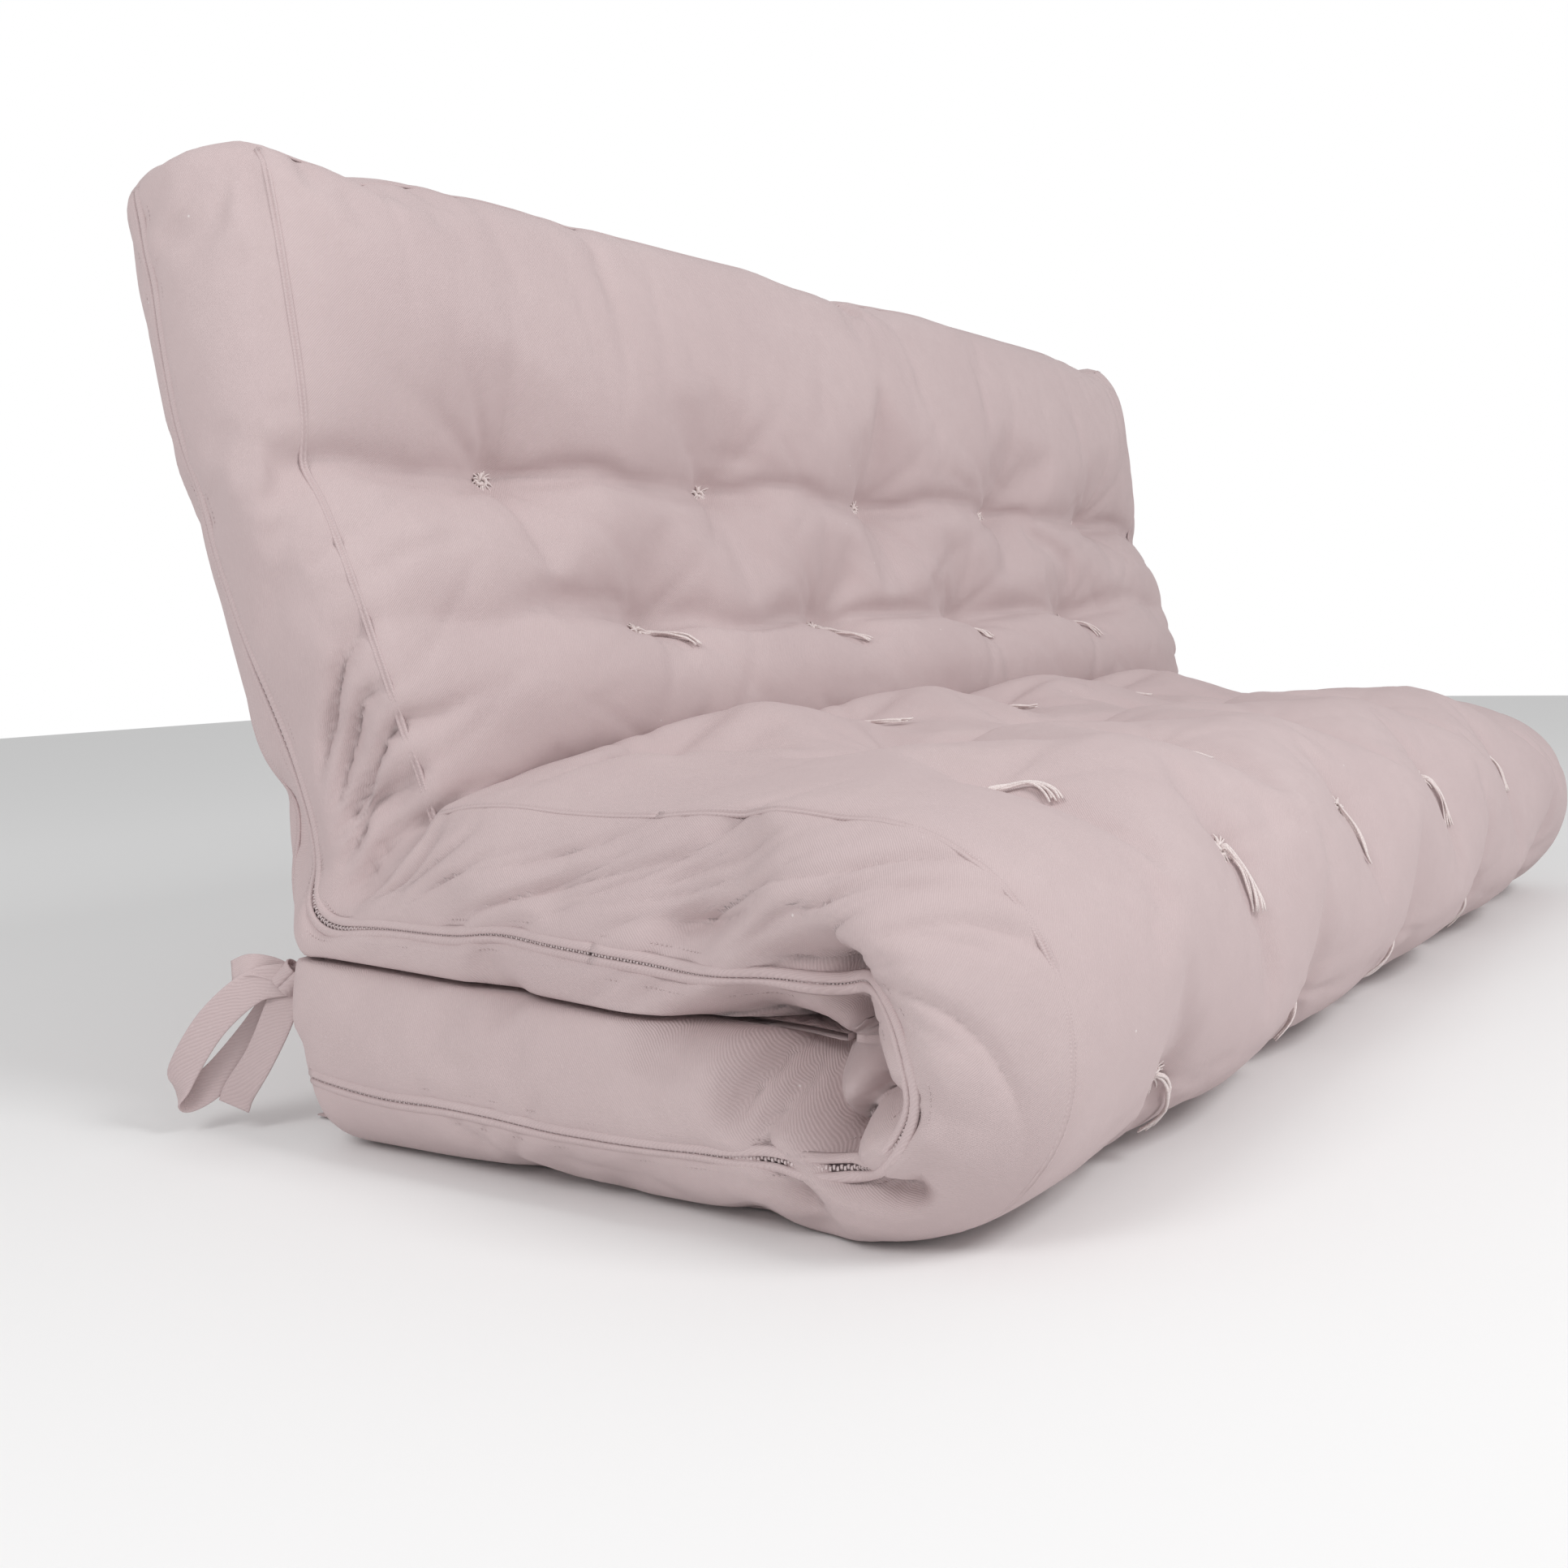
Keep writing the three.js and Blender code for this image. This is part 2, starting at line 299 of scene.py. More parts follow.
def point_normals(points, faces):
    a, b, c, d = (points[faces[:, n]] for n in range(4))
    normal = np.cross(c - a, d - b)
    total = np.zeros_like(points)
    for n in range(4):
        np.add.at(total, faces[:, n], normal)
    return total / np.maximum(np.linalg.norm(total, axis=1), 1e-12)[:, None]


points = bend(rounded)
print(f"pad of {len(points)} points and {len(quads)} quads")

# %% [markdown]
# Tufts pull both faces together in rows, and the rows are staggered: five, then four. Between two
# tufts of a row the cloth falls into a valley, and short creases run out from each tuft like a star.
# The back is drawn in deepest. The seat and the roll are flatter, because people sit there.

# %% Rows of tufts
tuft_pitch = 0.327
row_step = 0.165


def seat_run(y):
    """Length along the face line of a place on the seat's top."""
    places = np.linspace(1.1, 2, 60)
    ys = at_place(face_line, face_place, places)[:, 0]
    return np.interp(-y, -ys, np.interp(places, station_place, face_run))


def tuft_middle(name):
    lowest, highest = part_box(name)
    return np.array([(lowest.y + highest.y) / 2, (lowest.z + highest.z) / 2])


def back_run(name):
    """Length down the face line of a tuft of the back."""
    return back_length - (tuft_middle(name) - outer_corner) @ up_back


face_at_inner = np.interp(1.0, station_place, face_run)
roll_start = np.interp(2.0, station_place, face_run)
roll_end = np.interp(3.0, station_place, face_run)
fifth = seat_run(tuft_middle("seat_tuft_6")[0]) + row_step
# each row: length along the face line, tufts, depth at a tuft, depth of the valley, steepness
ROWS = [
    (back_run("back_tuft_5"), 5, 0.046, 0.026, 1.0),
    (back_run("back_tuft_1"), 4, 0.046, 0.022, 1.0),
    (seat_run(tuft_middle("seat_tuft_1")[0]), 5, 0.022, 0.008, 0.8),
    (seat_run(tuft_middle("seat_tuft_6")[0]), 4, 0.018, 0.004, 0.6),
    (fifth, 5, 0.016, 0.003, 0.5),
    (roll_start + math.radians(53) * roll_radius, 4, 0.016, 0.003, 0.5),
    (roll_start + math.radians(118) * roll_radius, 5, 0.018, 0.004, 0.5),
    (roll_end + 0.01, 4, 0.010, 0.002, 0.5),
    (roll_end + 0.01 + row_step, 5, 0.010, 0.003, 0.5),
    (roll_end + 0.01 + 2 * row_step, 4, 0.010, 0.003, 0.5),
]
print(len(ROWS), "rows,", sum(row[1] for row in ROWS), "tufts on the face side")


def tuft_row(count):
    return (np.arange(count) - (count - 1) / 2) * tuft_pitch


def ramp(value, start, end):
    """0 before start, 1 after end, smooth between."""
    t = np.clip((value - start) / (end - start), 0, 1)
    return t * t * (3 - 2 * t)


def waves(value, seed, short, long, count=6):
    """A smooth random line: a sum of sines whose lengths lie between the two given."""
    draw = np.random.default_rng(seed)
    total = np.zeros_like(value)
    for _ in range(count):
        length = draw.uniform(short, long)
        total += np.sin(value * 2 * math.pi / length + draw.uniform(0, 2 * math.pi))
    return total / math.sqrt(count)


def row_line(number, row, across):
    """A row's valley is not quite straight, but it passes through its tufts."""
    count = ROWS[number][1]
    hold = np.sin(math.pi * (across / tuft_pitch + (0 if count % 2 else 0.5))) ** 2
    return row + 0.010 * hold * waves(across, 20 + number, 0.25, 0.6)


def filling(run, across, end_run, rows, crown):
    """How far the filled cloth stands out from the plain pad: pillows between the valleys."""
    edge = np.minimum(half_width - np.abs(across), np.minimum(run, end_run - run))
    height = crown(run) * (1 - np.exp(-np.clip(edge - 0.03, 0, None) / 0.09))
    for number, (row, count, depth, valley, steep) in enumerate(rows):
        off_row = np.abs(run - row_line(number, row, across))
        to_tuft = np.min(np.abs(across[:, None] - tuft_row(count)[None]), axis=1)
        fade = np.clip((half_width - np.abs(across) - 0.02) / 0.12, 0, 1)
        height -= fade * valley * 0.75 * np.exp(-off_row / 0.034)
        height -= fade * valley * 0.35 * np.exp(-((off_row / 0.07) ** 2))
        height -= fade * (depth - valley) * 0.3 * np.exp(-to_tuft / 0.06) * np.exp(-off_row / 0.05)
        for place in tuft_row(count):
            radius = np.hypot(run - row, across - place)
            height -= (depth - valley) * 0.45 * np.exp(-radius / 0.032)
            height -= (depth - valley) * 0.45 * np.exp(-((radius / 0.09) ** 2))
    return height


def creases(run, across, rows):
    """The sharp part of the relief: the valley lines and the star of creases at each tuft."""
    depth_here = np.zeros_like(run)
    for number, (row, count, depth, valley, steep) in enumerate(rows):
        off_row = np.abs(run - row_line(number, row, across))
        to_tuft = np.min(np.abs(across[:, None] - tuft_row(count)[None]), axis=1)
        fade = np.clip((half_width - np.abs(across) - 0.01) / 0.12, 0, 1)
        strength = 0.35 + 0.65 * np.exp(-to_tuft / 0.09)
        depth_here += fade * valley * 0.40 * strength * np.exp(-off_row / 0.009)
        for i, place in enumerate(tuft_row(count)):
            down, over = run - row, across - place
            radius = np.hypot(down, over)
            angle = np.arctan2(down, over)
            depth_here += (depth - valley) * 0.35 * np.exp(-radius / 0.012)
            draw = np.random.default_rng(100 + 10 * number + i)
            for spoke in draw.permutation(9)[:7]:
                toward = (spoke + draw.uniform(-0.3, 0.3)) * 2 * math.pi / 9
                reach = draw.uniform(0.04, 0.13)
                turned = np.abs((angle - toward + math.pi) % (2 * math.pi) - math.pi)
                miss = np.sin(np.minimum(turned, 1.5)) * radius
                width = 0.004 + 0.06 * radius
                groove = np.exp(-((miss / width) ** 2)) * (turned < 1.2) * np.exp(-radius / reach)
                depth_here += steep * 0.006 * groove * (1 - np.exp(-radius / 0.012))
    return -depth_here


# Folds drawn on the rolled end, as places in metres behind and above the roll's middle:
# each has its depth, its width and its places. The first two numbers scale them all.
FOLD_DEPTH_SCALE = 1.6
FOLD_WIDTH_SCALE = 0.95
ROLL_FOLDS = [
    (0.034, 0.010, [(0.125, -0.006), (0.075, 0.000), (0.048, -0.006), (0.022, -0.010)]),
    (0.026, 0.007, [(0.024, -0.008), (0.014, -0.040), (-0.010, -0.070), (-0.024, -0.086)]),
    (0.024, 0.006, [(-0.016, 0.044), (-0.002, 0.022), (-0.012, 0.002), (-0.034, -0.014)]),
    (0.024, 0.006, [(-0.034, -0.014), (-0.040, -0.032), (-0.020, -0.055), (-0.018, -0.078)]),
    (0.022, 0.008, [(0.040, 0.044), (0.010, 0.048), (-0.020, 0.046), (-0.052, 0.028), (-0.070, 0.012)]),
    (0.020, 0.007, [(-0.020, -0.078), (-0.044, -0.090), (-0.066, -0.092), (-0.080, -0.080)]),
    (0.020, 0.007, [(-0.038, -0.020), (-0.058, -0.034), (-0.084, -0.026)]),
    (0.018, 0.007, [(0.046, -0.008), (0.054, -0.036), (0.062, -0.062)]),
    (0.014, 0.006, [(0.034, -0.012), (0.032, -0.042), (0.040, -0.068), (0.028, -0.090)]),
    (0.012, 0.007, [(0.135, 0.060), (0.095, 0.064), (0.055, 0.078)]),
    (0.014, 0.008, [(0.090, 0.010), (0.066, 0.022), (0.046, 0.038)]),
    (0.010, 0.006, [(0.016, -0.100), (0.006, -0.120)]),
    (0.012, 0.006, [(-0.010, 0.030), (-0.024, 0.014), (-0.020, -0.004), (-0.006, -0.014)]),
]


def to_polyline(y, z, places):
    """Distance of each point from a drawn line, and how far along the line the nearest place is."""
    best = np.full(len(y), 9.0)
    along = np.zeros(len(y))
    for i in range(len(places) - 1):
        p, q = np.array(places[i]), np.array(places[i + 1])
        step = q - p
        t = np.clip(((y - p[0]) * step[0] + (z - p[1]) * step[1]) / (step @ step), 0, 1)
        d = np.hypot(y - p[0] - t * step[0], z - p[1] - t * step[1])
        closer = d < best
        best[closer] = d[closer]
        along[closer] = ((i + t) / (len(places) - 1))[closer]
    return best, along


def roll_end_folds(y, z):
    """How deep the crumpled end of the roll lies: drawn folds in a shallow dish."""
    y, z = y - roll_inner_y, z - fold_z
    radius = np.hypot(y, z)
    depth = 0.012 * np.exp(-((radius / 0.05) ** 2)) - 0.010 * np.exp(-(((radius - 0.085) / 0.03) ** 2))
    for deep, wide, places in ROLL_FOLDS:
        deep = FOLD_DEPTH_SCALE * deep
        wide = FOLD_WIDTH_SCALE * wide
        distance, along = to_polyline(y, z, places)
        taper = np.sin(math.pi * (0.12 + 0.80 * along)) ** 0.7
        sharp_part = 0.75 * np.exp(-distance / wide)
        soft_part = 0.25 * np.exp(-((distance / wide / 3) ** 2))
        depth += deep * taper * (sharp_part + soft_part)
    return depth


def corner_folds(run, across, share):
    """Folds that fan out from the inside of the bend at each end of the rear crease."""
    around = half_width - np.abs(across) + np.clip(share - 0.4, 0, 1) * thick
    depth = np.zeros_like(run)
    for end in (-1, 1):
        draw = np.random.default_rng(40 + end)
        for start in (-0.165, -0.120, -0.082, -0.048, -0.016, 0.018, 0.052, 0.090, 0.135):
            lean_of_fold = start * draw.uniform(0.8, 1.6) - 0.10
            centre = face_at_inner + start * (0.55 + 0.45 * ramp(around, 0, 0.10))
            centre = centre + lean_of_fold * np.clip(around - 0.10, 0, None)
            centre = centre + 0.004 * np.sin(around * 60 + draw.uniform(0, 6))
            reach = draw.uniform(0.14, 0.26) * (1 if start < 0.03 else 0.6)
            deep = draw.uniform(0.014, 0.022) * (1 if start < 0.06 else 0.55)
            length = ramp(around, 0.005, 0.05) * (1 - ramp(around, 0.45 * reach, reach))
            width = 0.0065 + 0.03 * np.clip(around - 0.08, 0, 1)
            off = np.abs(run - centre)
            depth += deep * length * np.exp(-off / width) * (np.sign(across) == end)
    return depth


def drag_lines(along, around, strokes, seed, area, slant, length, width, depth):
    """Shallow pulls in the cloth: short soft lines, all slanting much the same way.

    area, slant (degrees), length, width and depth are ranges that each line is drawn from."""
    draw = np.random.default_rng(seed)
    total = np.zeros_like(along)
    for _ in range(strokes):
        centre = (draw.uniform(*area[0]), draw.uniform(*area[1]))
        turn = math.radians(draw.uniform(*slant))
        reach, half, deep = draw.uniform(*length) / 2, draw.uniform(*width), draw.uniform(*depth)
        near_along = np.abs(along - centre[0]) < 2.5 * reach
        near_around = np.abs(around - centre[1]) < 2.5 * reach
        near = np.nonzero(near_along & near_around)[0]
        u, v = along[near] - centre[0], around[near] - centre[1]
        ahead = u * math.cos(turn) + v * math.sin(turn)
        off = v * math.cos(turn) - u * math.sin(turn) + draw.uniform(-2, 2) * ahead**2
        total[near] += deep * np.exp(-np.abs(off) / half) * np.exp(-((ahead / reach) ** 2))
    return total


def back_and_seat_crown(run):
    """The back is filled fullest, the seat and the roll are flatter."""
    stops = [0, 0.50, 0.62, 0.75, 1.20, 1.45, 2.00]
    return np.interp(run, stops, [0.040, 0.040, 0.022, 0.020, 0.014, 0.008, 0.004])


share_through = rounded[:, 2] / thick + 0.5
run_here = np.interp(rounded[:, 0], mid_run, face_run)
rear_here = np.interp(rounded[:, 0], mid_run, rear_run)
rear_rows = [(row, n, d * 0.6, v * 0.4, steep) for row, n, d, v, steep in ROWS[:2]]
station_here = np.interp(rounded[:, 0], mid_run, station_place)
on_rear = np.clip(1.0 - station_here, 0, 0.15) / 0.15


def face_side(share):
    return np.clip((share - 0.55) * 3.2, 0, 1)


def rear_side(share):
    return np.clip((0.45 - share) * 3.2, 0, 1)


fill_face = filling(run_here, rounded[:, 1], face_run[-1], ROWS, back_and_seat_crown)
fill_rear = filling(rear_here, rounded[:, 1], rear_run[-1], rear_rows, lambda run: 0.012 + 0 * run)
lift = fill_face * face_side(share_through) + fill_rear * rear_side(share_through) * on_rear
normals = point_normals(points, quads)
points = points + normals * lift[:, None]

# %% [markdown]
# Filling that is squeezed out of the rear crease puffs up the rear of the seat and the foot of the
# back. Towards both ends the layers are thinner, where the filling thins out. The back leans a
# little further at its top, and every layer swells out sideways past its seams.

# %% Puffs, and thinner ends
from_end = half_width - np.abs(points[:, 0])
inside = 1 - np.exp(-((from_end / 0.16) ** 2))
face_share = face_side(share_through)
on_seat = np.clip((station_here - 0.97) / 0.06, 0, 1) * (station_here < 2.0)
seat_puff = 0.055 * np.exp(-(((points[:, 1] - inner_corner[0] + 0.050) / 0.080) ** 2))
points[:, 2] += seat_puff * on_seat * face_share * (0.25 + 0.75 * inside)
on_foot = np.clip((1.03 - station_here) / 0.06, 0, 1)
foot_puff = 0.020 * np.exp(-(((points[:, 2] - seat_top - 0.075) / 0.060) ** 2))
points[:, 1] -= foot_puff * on_foot * face_share * inside
near_end = np.exp(-((from_end / 0.22) ** 2))
above_fold = np.clip(points[:, 2] - fold_z, 0, None)
seat_share = np.clip((station_here - 0.95) / 0.15, 0, 1) * np.clip((2.5 - station_here) / 0.5, 0, 1)
points[:, 2] -= above_fold * 0.13 * near_end * seat_share
far_end = np.exp(-((from_end / 0.25) ** 2)) * (points[:, 0] > 0)
points[:, 2] -= above_fold * 0.20 * far_end * seat_share


height = points[:, 2] - fold_z
on_back = ramp(1.1 - station_here, 0, 0.2)
points[:, 1] += on_back * ramp(height, 0.04, 0.20) * (0.010 + 0.020 * (1 - share_through))
points[:, 2] += on_back * ramp(height, 0.35, 0.68) * (0.008 + 0.014 * inside)


def layer_middle(share):
    """1 in the middle of the boxing, 0 at its seams."""
    return np.clip(1 - (2 * share - 1) ** 2, 0, 1)


side_swell = (0.012 + 0.006 * (1 - on_back)) * layer_middle(share_through)
points[:, 0] += np.sign(points[:, 0]) * side_swell * np.exp(-((from_end / 0.05) ** 2))
rear_edge = ramp(points[:, 1], lower_end - 0.06, lower_end) * (1 - on_back * ramp(height, 0.04, 0.20))
points[:, 1] += rear_edge * 0.026 * np.sin(math.pi * np.clip(points[:, 2] / seat_top, 0, 1))

# %% [markdown]
# At each end of the roll the inner cloth is as long as the outer, so it has to crumple. Its folds
# are first pressed into the plain shell, softly, so that the simulated cloth settles round them, and
# they are drawn again, sharply, on the fine mesh. Then the points and quads become a Blender mesh.

# %% Where the crumpled end starts
end_share = np.exp(-(((half_width - np.abs(rounded[:, 1])) / 0.030) ** 4))
first_folds = roll_end_folds(points[:, 1], points[:, 2]) * end_share * ramp(station_here, 1.02, 1.3)
points[:, 0] -= np.sign(points[:, 0]) * 0.7 * first_folds


# %% Make the shell a mesh
def new_mesh(name, vertices, faces):
    mesh = bpy.data.meshes.new(name)
    mesh.from_pydata([tuple(v) for v in vertices], [], [tuple(int(i) for i in f) for f in faces])
    mesh.update()
    obj = bpy.data.objects.new(name, mesh)
    bpy.context.scene.collection.objects.link(obj)
    return obj


def vertex_array(obj):
    values = np.empty(len(obj.data.vertices) * 3)
    obj.data.vertices.foreach_get("co", values)
    return values.reshape(-1, 3)


shell = new_mesh("mattress_cover", points, quads)
print("shell", len(shell.data.vertices), "points")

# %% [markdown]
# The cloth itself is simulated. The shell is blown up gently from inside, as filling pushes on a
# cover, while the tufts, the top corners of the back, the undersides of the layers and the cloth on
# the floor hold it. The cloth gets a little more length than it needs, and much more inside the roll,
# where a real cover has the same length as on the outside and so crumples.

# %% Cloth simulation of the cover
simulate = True
tuft_points = []
for row, count, *_ in ROWS:
    for place in tuft_row(count):
        tuft_points.append((row, place))
tuft_points = np.array(tuft_points)
hold = np.zeros(len(points))
for row, place in tuft_points:
    radius = np.hypot(run_here - row, rounded[:, 1] - place)
    hold = np.maximum(hold, (share_through > 0.9) * np.exp(-((radius / 0.012) ** 2)))
for row, count, *_ in rear_rows:
    for place in tuft_row(count):
        radius = np.hypot(rear_here - row, rounded[:, 1] - place)
        hold = np.maximum(hold, (share_through < 0.1) * np.exp(-((radius / 0.012) ** 2)))
corner = np.exp(-((from_end / 0.06) ** 2)) * np.exp(-((rounded[:, 0] / 0.06) ** 2))
hold = np.maximum(hold, 0.7 * corner)
roll_middle = np.array([roll_inner_y, fold_z])
to_middle = np.hypot(points[:, 1] - roll_middle[0], points[:, 2] - roll_middle[1])
at_end = np.exp(-((from_end / 0.05) ** 4))
crumple = at_end * np.clip(1.25 - to_middle / 0.135, 0, 1)
to_crease = np.hypot(points[:, 1] - inner_corner[0], points[:, 2] - inner_corner[1] + 0.02)
crumple = np.maximum(crumple, 0.35 * at_end * np.clip(1.2 - to_crease / 0.16, 0, 1))
under_layer = (share_through < 0.1) & (station_here > 1.05) & (from_end > 0.05)
hold = np.maximum(hold, np.where(under_layer, 0.6, 0))
hold = np.maximum(hold, np.where((points[:, 2] < 0.004) & (from_end > 0.06), 0.4, 0))


def add_group(obj, name, weights):
    group = obj.vertex_groups.new(name=name)
    for level in np.unique(np.round(weights, 2)):
        if level > 0:
            members = np.nonzero(np.round(weights, 2) == level)[0]
            group.add([int(i) for i in members], float(level), "REPLACE")


if simulate:
    add_group(shell, "hold", hold)
    add_group(shell, "crumple", crumple)
    cloth_modifier = shell.modifiers.new("cloth", "CLOTH")
    settings = cloth_modifier.settings
    settings.quality = 4
    settings.mass = 0.3
    settings.tension_stiffness = 20
    settings.compression_stiffness = 20
    settings.shear_stiffness = 8
    settings.bending_stiffness = 2.0
    settings.air_damping = 4
    settings.use_pressure = True
    settings.uniform_pressure_force = 4
    settings.vertex_group_mass = "hold"
    settings.pin_stiffness = 1.0
    settings.shrink_min = -0.025
    settings.shrink_max = -0.60
    settings.vertex_group_shrink = "crumple"
    settings.effector_weights.gravity = 0
    cloth_modifier.collision_settings.use_collision = False
    started = time.time()
    scene = bpy.context.scene
    for step in range(1, 21):
        scene.frame_set(step)
    depsgraph = bpy.context.evaluated_depsgraph_get()
    evaluated = shell.evaluated_get(depsgraph)
    moved = np.empty(len(points) * 3)
    evaluated.data.vertices.foreach_get("co", moved)
    shell.modifiers.remove(cloth_modifier)
    scene.frame_set(1)
    move = moved.reshape(-1, 3) - points
    far = np.linalg.norm(move, axis=1)
    most = 0.026 + 0.015 * crumple
    move *= np.minimum(1, most / np.maximum(far, 1e-9))[:, None]
    points = points + move
    print(f"simulated in {time.time() - started:.0f} s, median move {np.median(far) * 1000:.1f} mm,"
          f" most {far.max() * 1000:.0f} mm")

# %% [markdown]
# Where the layers lie on each other or on the floor, cloth can't pass, so those points are held back.
# The line between the layers sinks towards the roll, where most of the weight is.

# %% Rest on the floor and on each other
LAYER_DROP = -0.014
LAYER_RISE = 0.010
LAYER_GAP = 0.0024
upper_layer = (station_here > 1.02) & (station_here < 2.5) & (share_through < 0.5)
lower_layer = (station_here >= 2.5) & (share_through < 0.5)
near_gap = np.exp(-((from_end / 0.05) ** 2)) * np.clip(1 - np.abs(points[:, 2] - fold_z) / 0.06, 0, 1)
closing = 0.024 * near_gap * ramp(points[:, 1], roll_y + 0.02, roll_y + 0.10)
points[:, 2] -= closing * ((station_here > 1.02) & (station_here < 2.5))
points[:, 2] += closing * (station_here >= 2.5)
points[:, 2] = np.where(upper_layer, np.maximum(points[:, 2], fold_z + LAYER_GAP), points[:, 2])
points[:, 2] = np.where(lower_layer, np.minimum(points[:, 2], fold_z - LAYER_GAP), points[:, 2])
tilt = np.interp(points[:, 1], [roll_y - 0.03, roll_y, lower_end], [LAYER_DROP, LAYER_DROP, LAYER_RISE])
tilt *= np.clip(1 - np.abs(points[:, 2] - fold_z) / 0.14, 0, 1) * ramp(station_here, 0.98, 1.06)
points[:, 2] += tilt
rear_limit = cad_box[1][1] + 0.018
points[:, 1] -= 0.6 * np.maximum(points[:, 1] - rear_limit, 0)
points[:, 2] = np.maximum(points[:, 2], 0.0005)
shell.data.vertices.foreach_set("co", points.ravel())
shell.data.update()

# %% [markdown]
# The zip's line is needed before the fine folds, because a zip is stiff: folds fade out beside it,
# and it lies in a groove of its own. On the back and the seat the filling pushes it towards the
# rear, and below the roll it swings towards the floor.

# %% Where the zip runs
def zip_share(along):
    """Where the zip lies through the thickness, from the rear or inner side (0) to the face (1)."""
    station = np.interp(along, mid_run, station_place)
    stops = [0, 0.9, 1.2, 2.0, 2.5, 3.0, 4.0]
    share = np.interp(station, stops, [0.33, 0.30, 0.33, 0.32, 0.50, 0.58, 0.60])
    return share + 0.012 * waves(along, 61, 0.10, 0.35)


print("zip at", [round(float(v), 2) for v in zip_share(np.linspace(0, pad_length, 5))], "of the boxing")

# %% [markdown]
# One subdivision makes the mesh fine enough for sharp creases. The flat places are subdivided in the
# same way, so that every fine point still knows where it lies on the flat cloth. Pulls are short
# shallow lines in cloth that is dragged a little, each drawn at random inside the ranges given.

# %% Fine mesh and sharp creases
# lines, seed, area (along and round the edge), slant in degrees, length, half width, depth
SIDE_PULLS = [
    (30, 0, ((0.75, 1.25), (-0.12, 0.02)), (20, 50), (0.07, 0.20), (0.004, 0.008), (0.003, 0.009)),
    (18, 1, ((1.45, 1.85), (-0.12, 0.00)), (-60, 60), (0.04, 0.10), (0.004, 0.008), (0.002, 0.005)),
    (16, 2, ((0.05, 0.60), (-0.12, 0.05)), (50, 130), (0.05, 0.14), (0.004, 0.008), (0.001, 0.003)),
]
FACE_PULLS = [
    (34, 90, ((0.02, 0.20), (-0.85, 0.85)), (-20, 20), (0.10, 0.24), (0.005, 0.010), (0.001, 0.004)),
    (60, 91, ((0.24, 0.66), (-0.85, 0.85)), (30, 150), (0.06, 0.18), (0.004, 0.008), (0.001, 0.004)),
    (40, 92, ((0.70, 1.50), (-0.85, 0.85)), (30, 150), (0.10, 0.26), (0.005, 0.010), (0.0006, 0.002)),
]
GROOVE_DEPTH = 0.0035


def subdivided(obj):
    bpy.ops.object.select_all(action="DESELECT")
    bpy.context.view_layer.objects.active = obj
    obj.select_set(True)
    modifier = obj.modifiers.new("subdivision", "SUBSURF")
    modifier.levels = 1
    modifier.render_levels = 1
    bpy.ops.object.modifier_apply(modifier=modifier.name)
    obj.select_set(False)


flat_shell = new_mesh("flat_cloth", rounded, quads)
for obj in (shell, flat_shell):
    obj.vertex_groups.clear()
    subdivided(obj)
fine_flat = vertex_array(flat_shell)
fine = vertex_array(shell)
fine_quads = np.empty(len(shell.data.polygons) * 4, int)
shell.data.polygons.foreach_get("vertices", fine_quads)
fine_quads = fine_quads.reshape(-1, 4)
bpy.data.objects.remove(flat_shell)
fine_share = fine_flat[:, 2] / thick + 0.5
fine_run = np.interp(fine_flat[:, 0], mid_run, face_run)
fine_rear_run = np.interp(fine_flat[:, 0], mid_run, rear_run)
fine_station = np.interp(fine_flat[:, 0], mid_run, station_place)
sharp = creases(fine_run, fine_flat[:, 1], ROWS) * face_side(fine_share)
sharp += (
    creases(fine_rear_run, fine_flat[:, 1], rear_rows)
    * rear_side(fine_share)
    * (fine_station < 1)
)
sharp -= corner_folds(fine_run, fine_flat[:, 1], fine_share) * (fine_share > 0.42)
fine_normals_now = point_normals(fine, fine_quads)
fine = fine + fine_normals_now * sharp[:, None]
fine_end = half_width - np.abs(fine_flat[:, 1])
around_end = fine_end - (1 - fine_share) * thick
touching = (fine_station > 1.05) & (fine_share < 0.12)
pulls = np.zeros(len(fine))
for side, first_seed in ((-1, 70), (1, 80)):
    on_side = np.where(np.sign(fine_flat[:, 1]) == side, 1.0, 0.0)
    for strokes, seed, *ranges in SIDE_PULLS:
        pulls += on_side * drag_lines(fine_run, around_end, strokes, first_seed + seed, *ranges)
for strokes, seed, *ranges in FACE_PULLS:
    pulls += drag_lines(fine_run, fine_flat[:, 1], strokes, seed, *ranges) * (fine_share > 0.9)
to_zip = np.abs(fine_share - zip_share(fine_flat[:, 0])) * thick
by_zip = np.exp(-((to_zip / 0.010) ** 2)) * (fine_flat[:, 1] < 0) * np.exp(-((fine_end / 0.020) ** 2))
groove = GROOVE_DEPTH * np.exp(-((to_zip / 0.0055) ** 2)) * (fine_flat[:, 1] < 0)
inside_ends = np.abs(fine_flat[:, 0] - pad_length / 2) < pad_length / 2 - 0.012
groove *= np.exp(-((fine_end / 0.015) ** 2)) * inside_ends
pulls = pulls * ~touching * (1 - 0.8 * by_zip) + groove
fine = fine - fine_normals_now * pulls[:, None]
folds = roll_end_folds(fine[:, 1], fine[:, 2]) * np.exp(-((fine_end / 0.030) ** 4))
folds *= ramp(fine_station, 1.02, 1.3) * (1 - 0.6 * by_zip)
fine[:, 0] -= np.sign(fine[:, 0]) * folds
fine[:, 2] = np.maximum(fine[:, 2], 0.0005)
shell.data.vertices.foreach_set("co", fine.ravel())
shell.data.update()
shell.data.shade_smooth()
print("fine shell", len(fine), "points")

# %% [markdown]
# Everything sewn on the cover is placed on the flat cloth and then carried to the folded one: the
# nearest flat triangle is found, and the same place in the folded triangle is taken. The pieces
# then follow every bulge and fold, as real seams do.

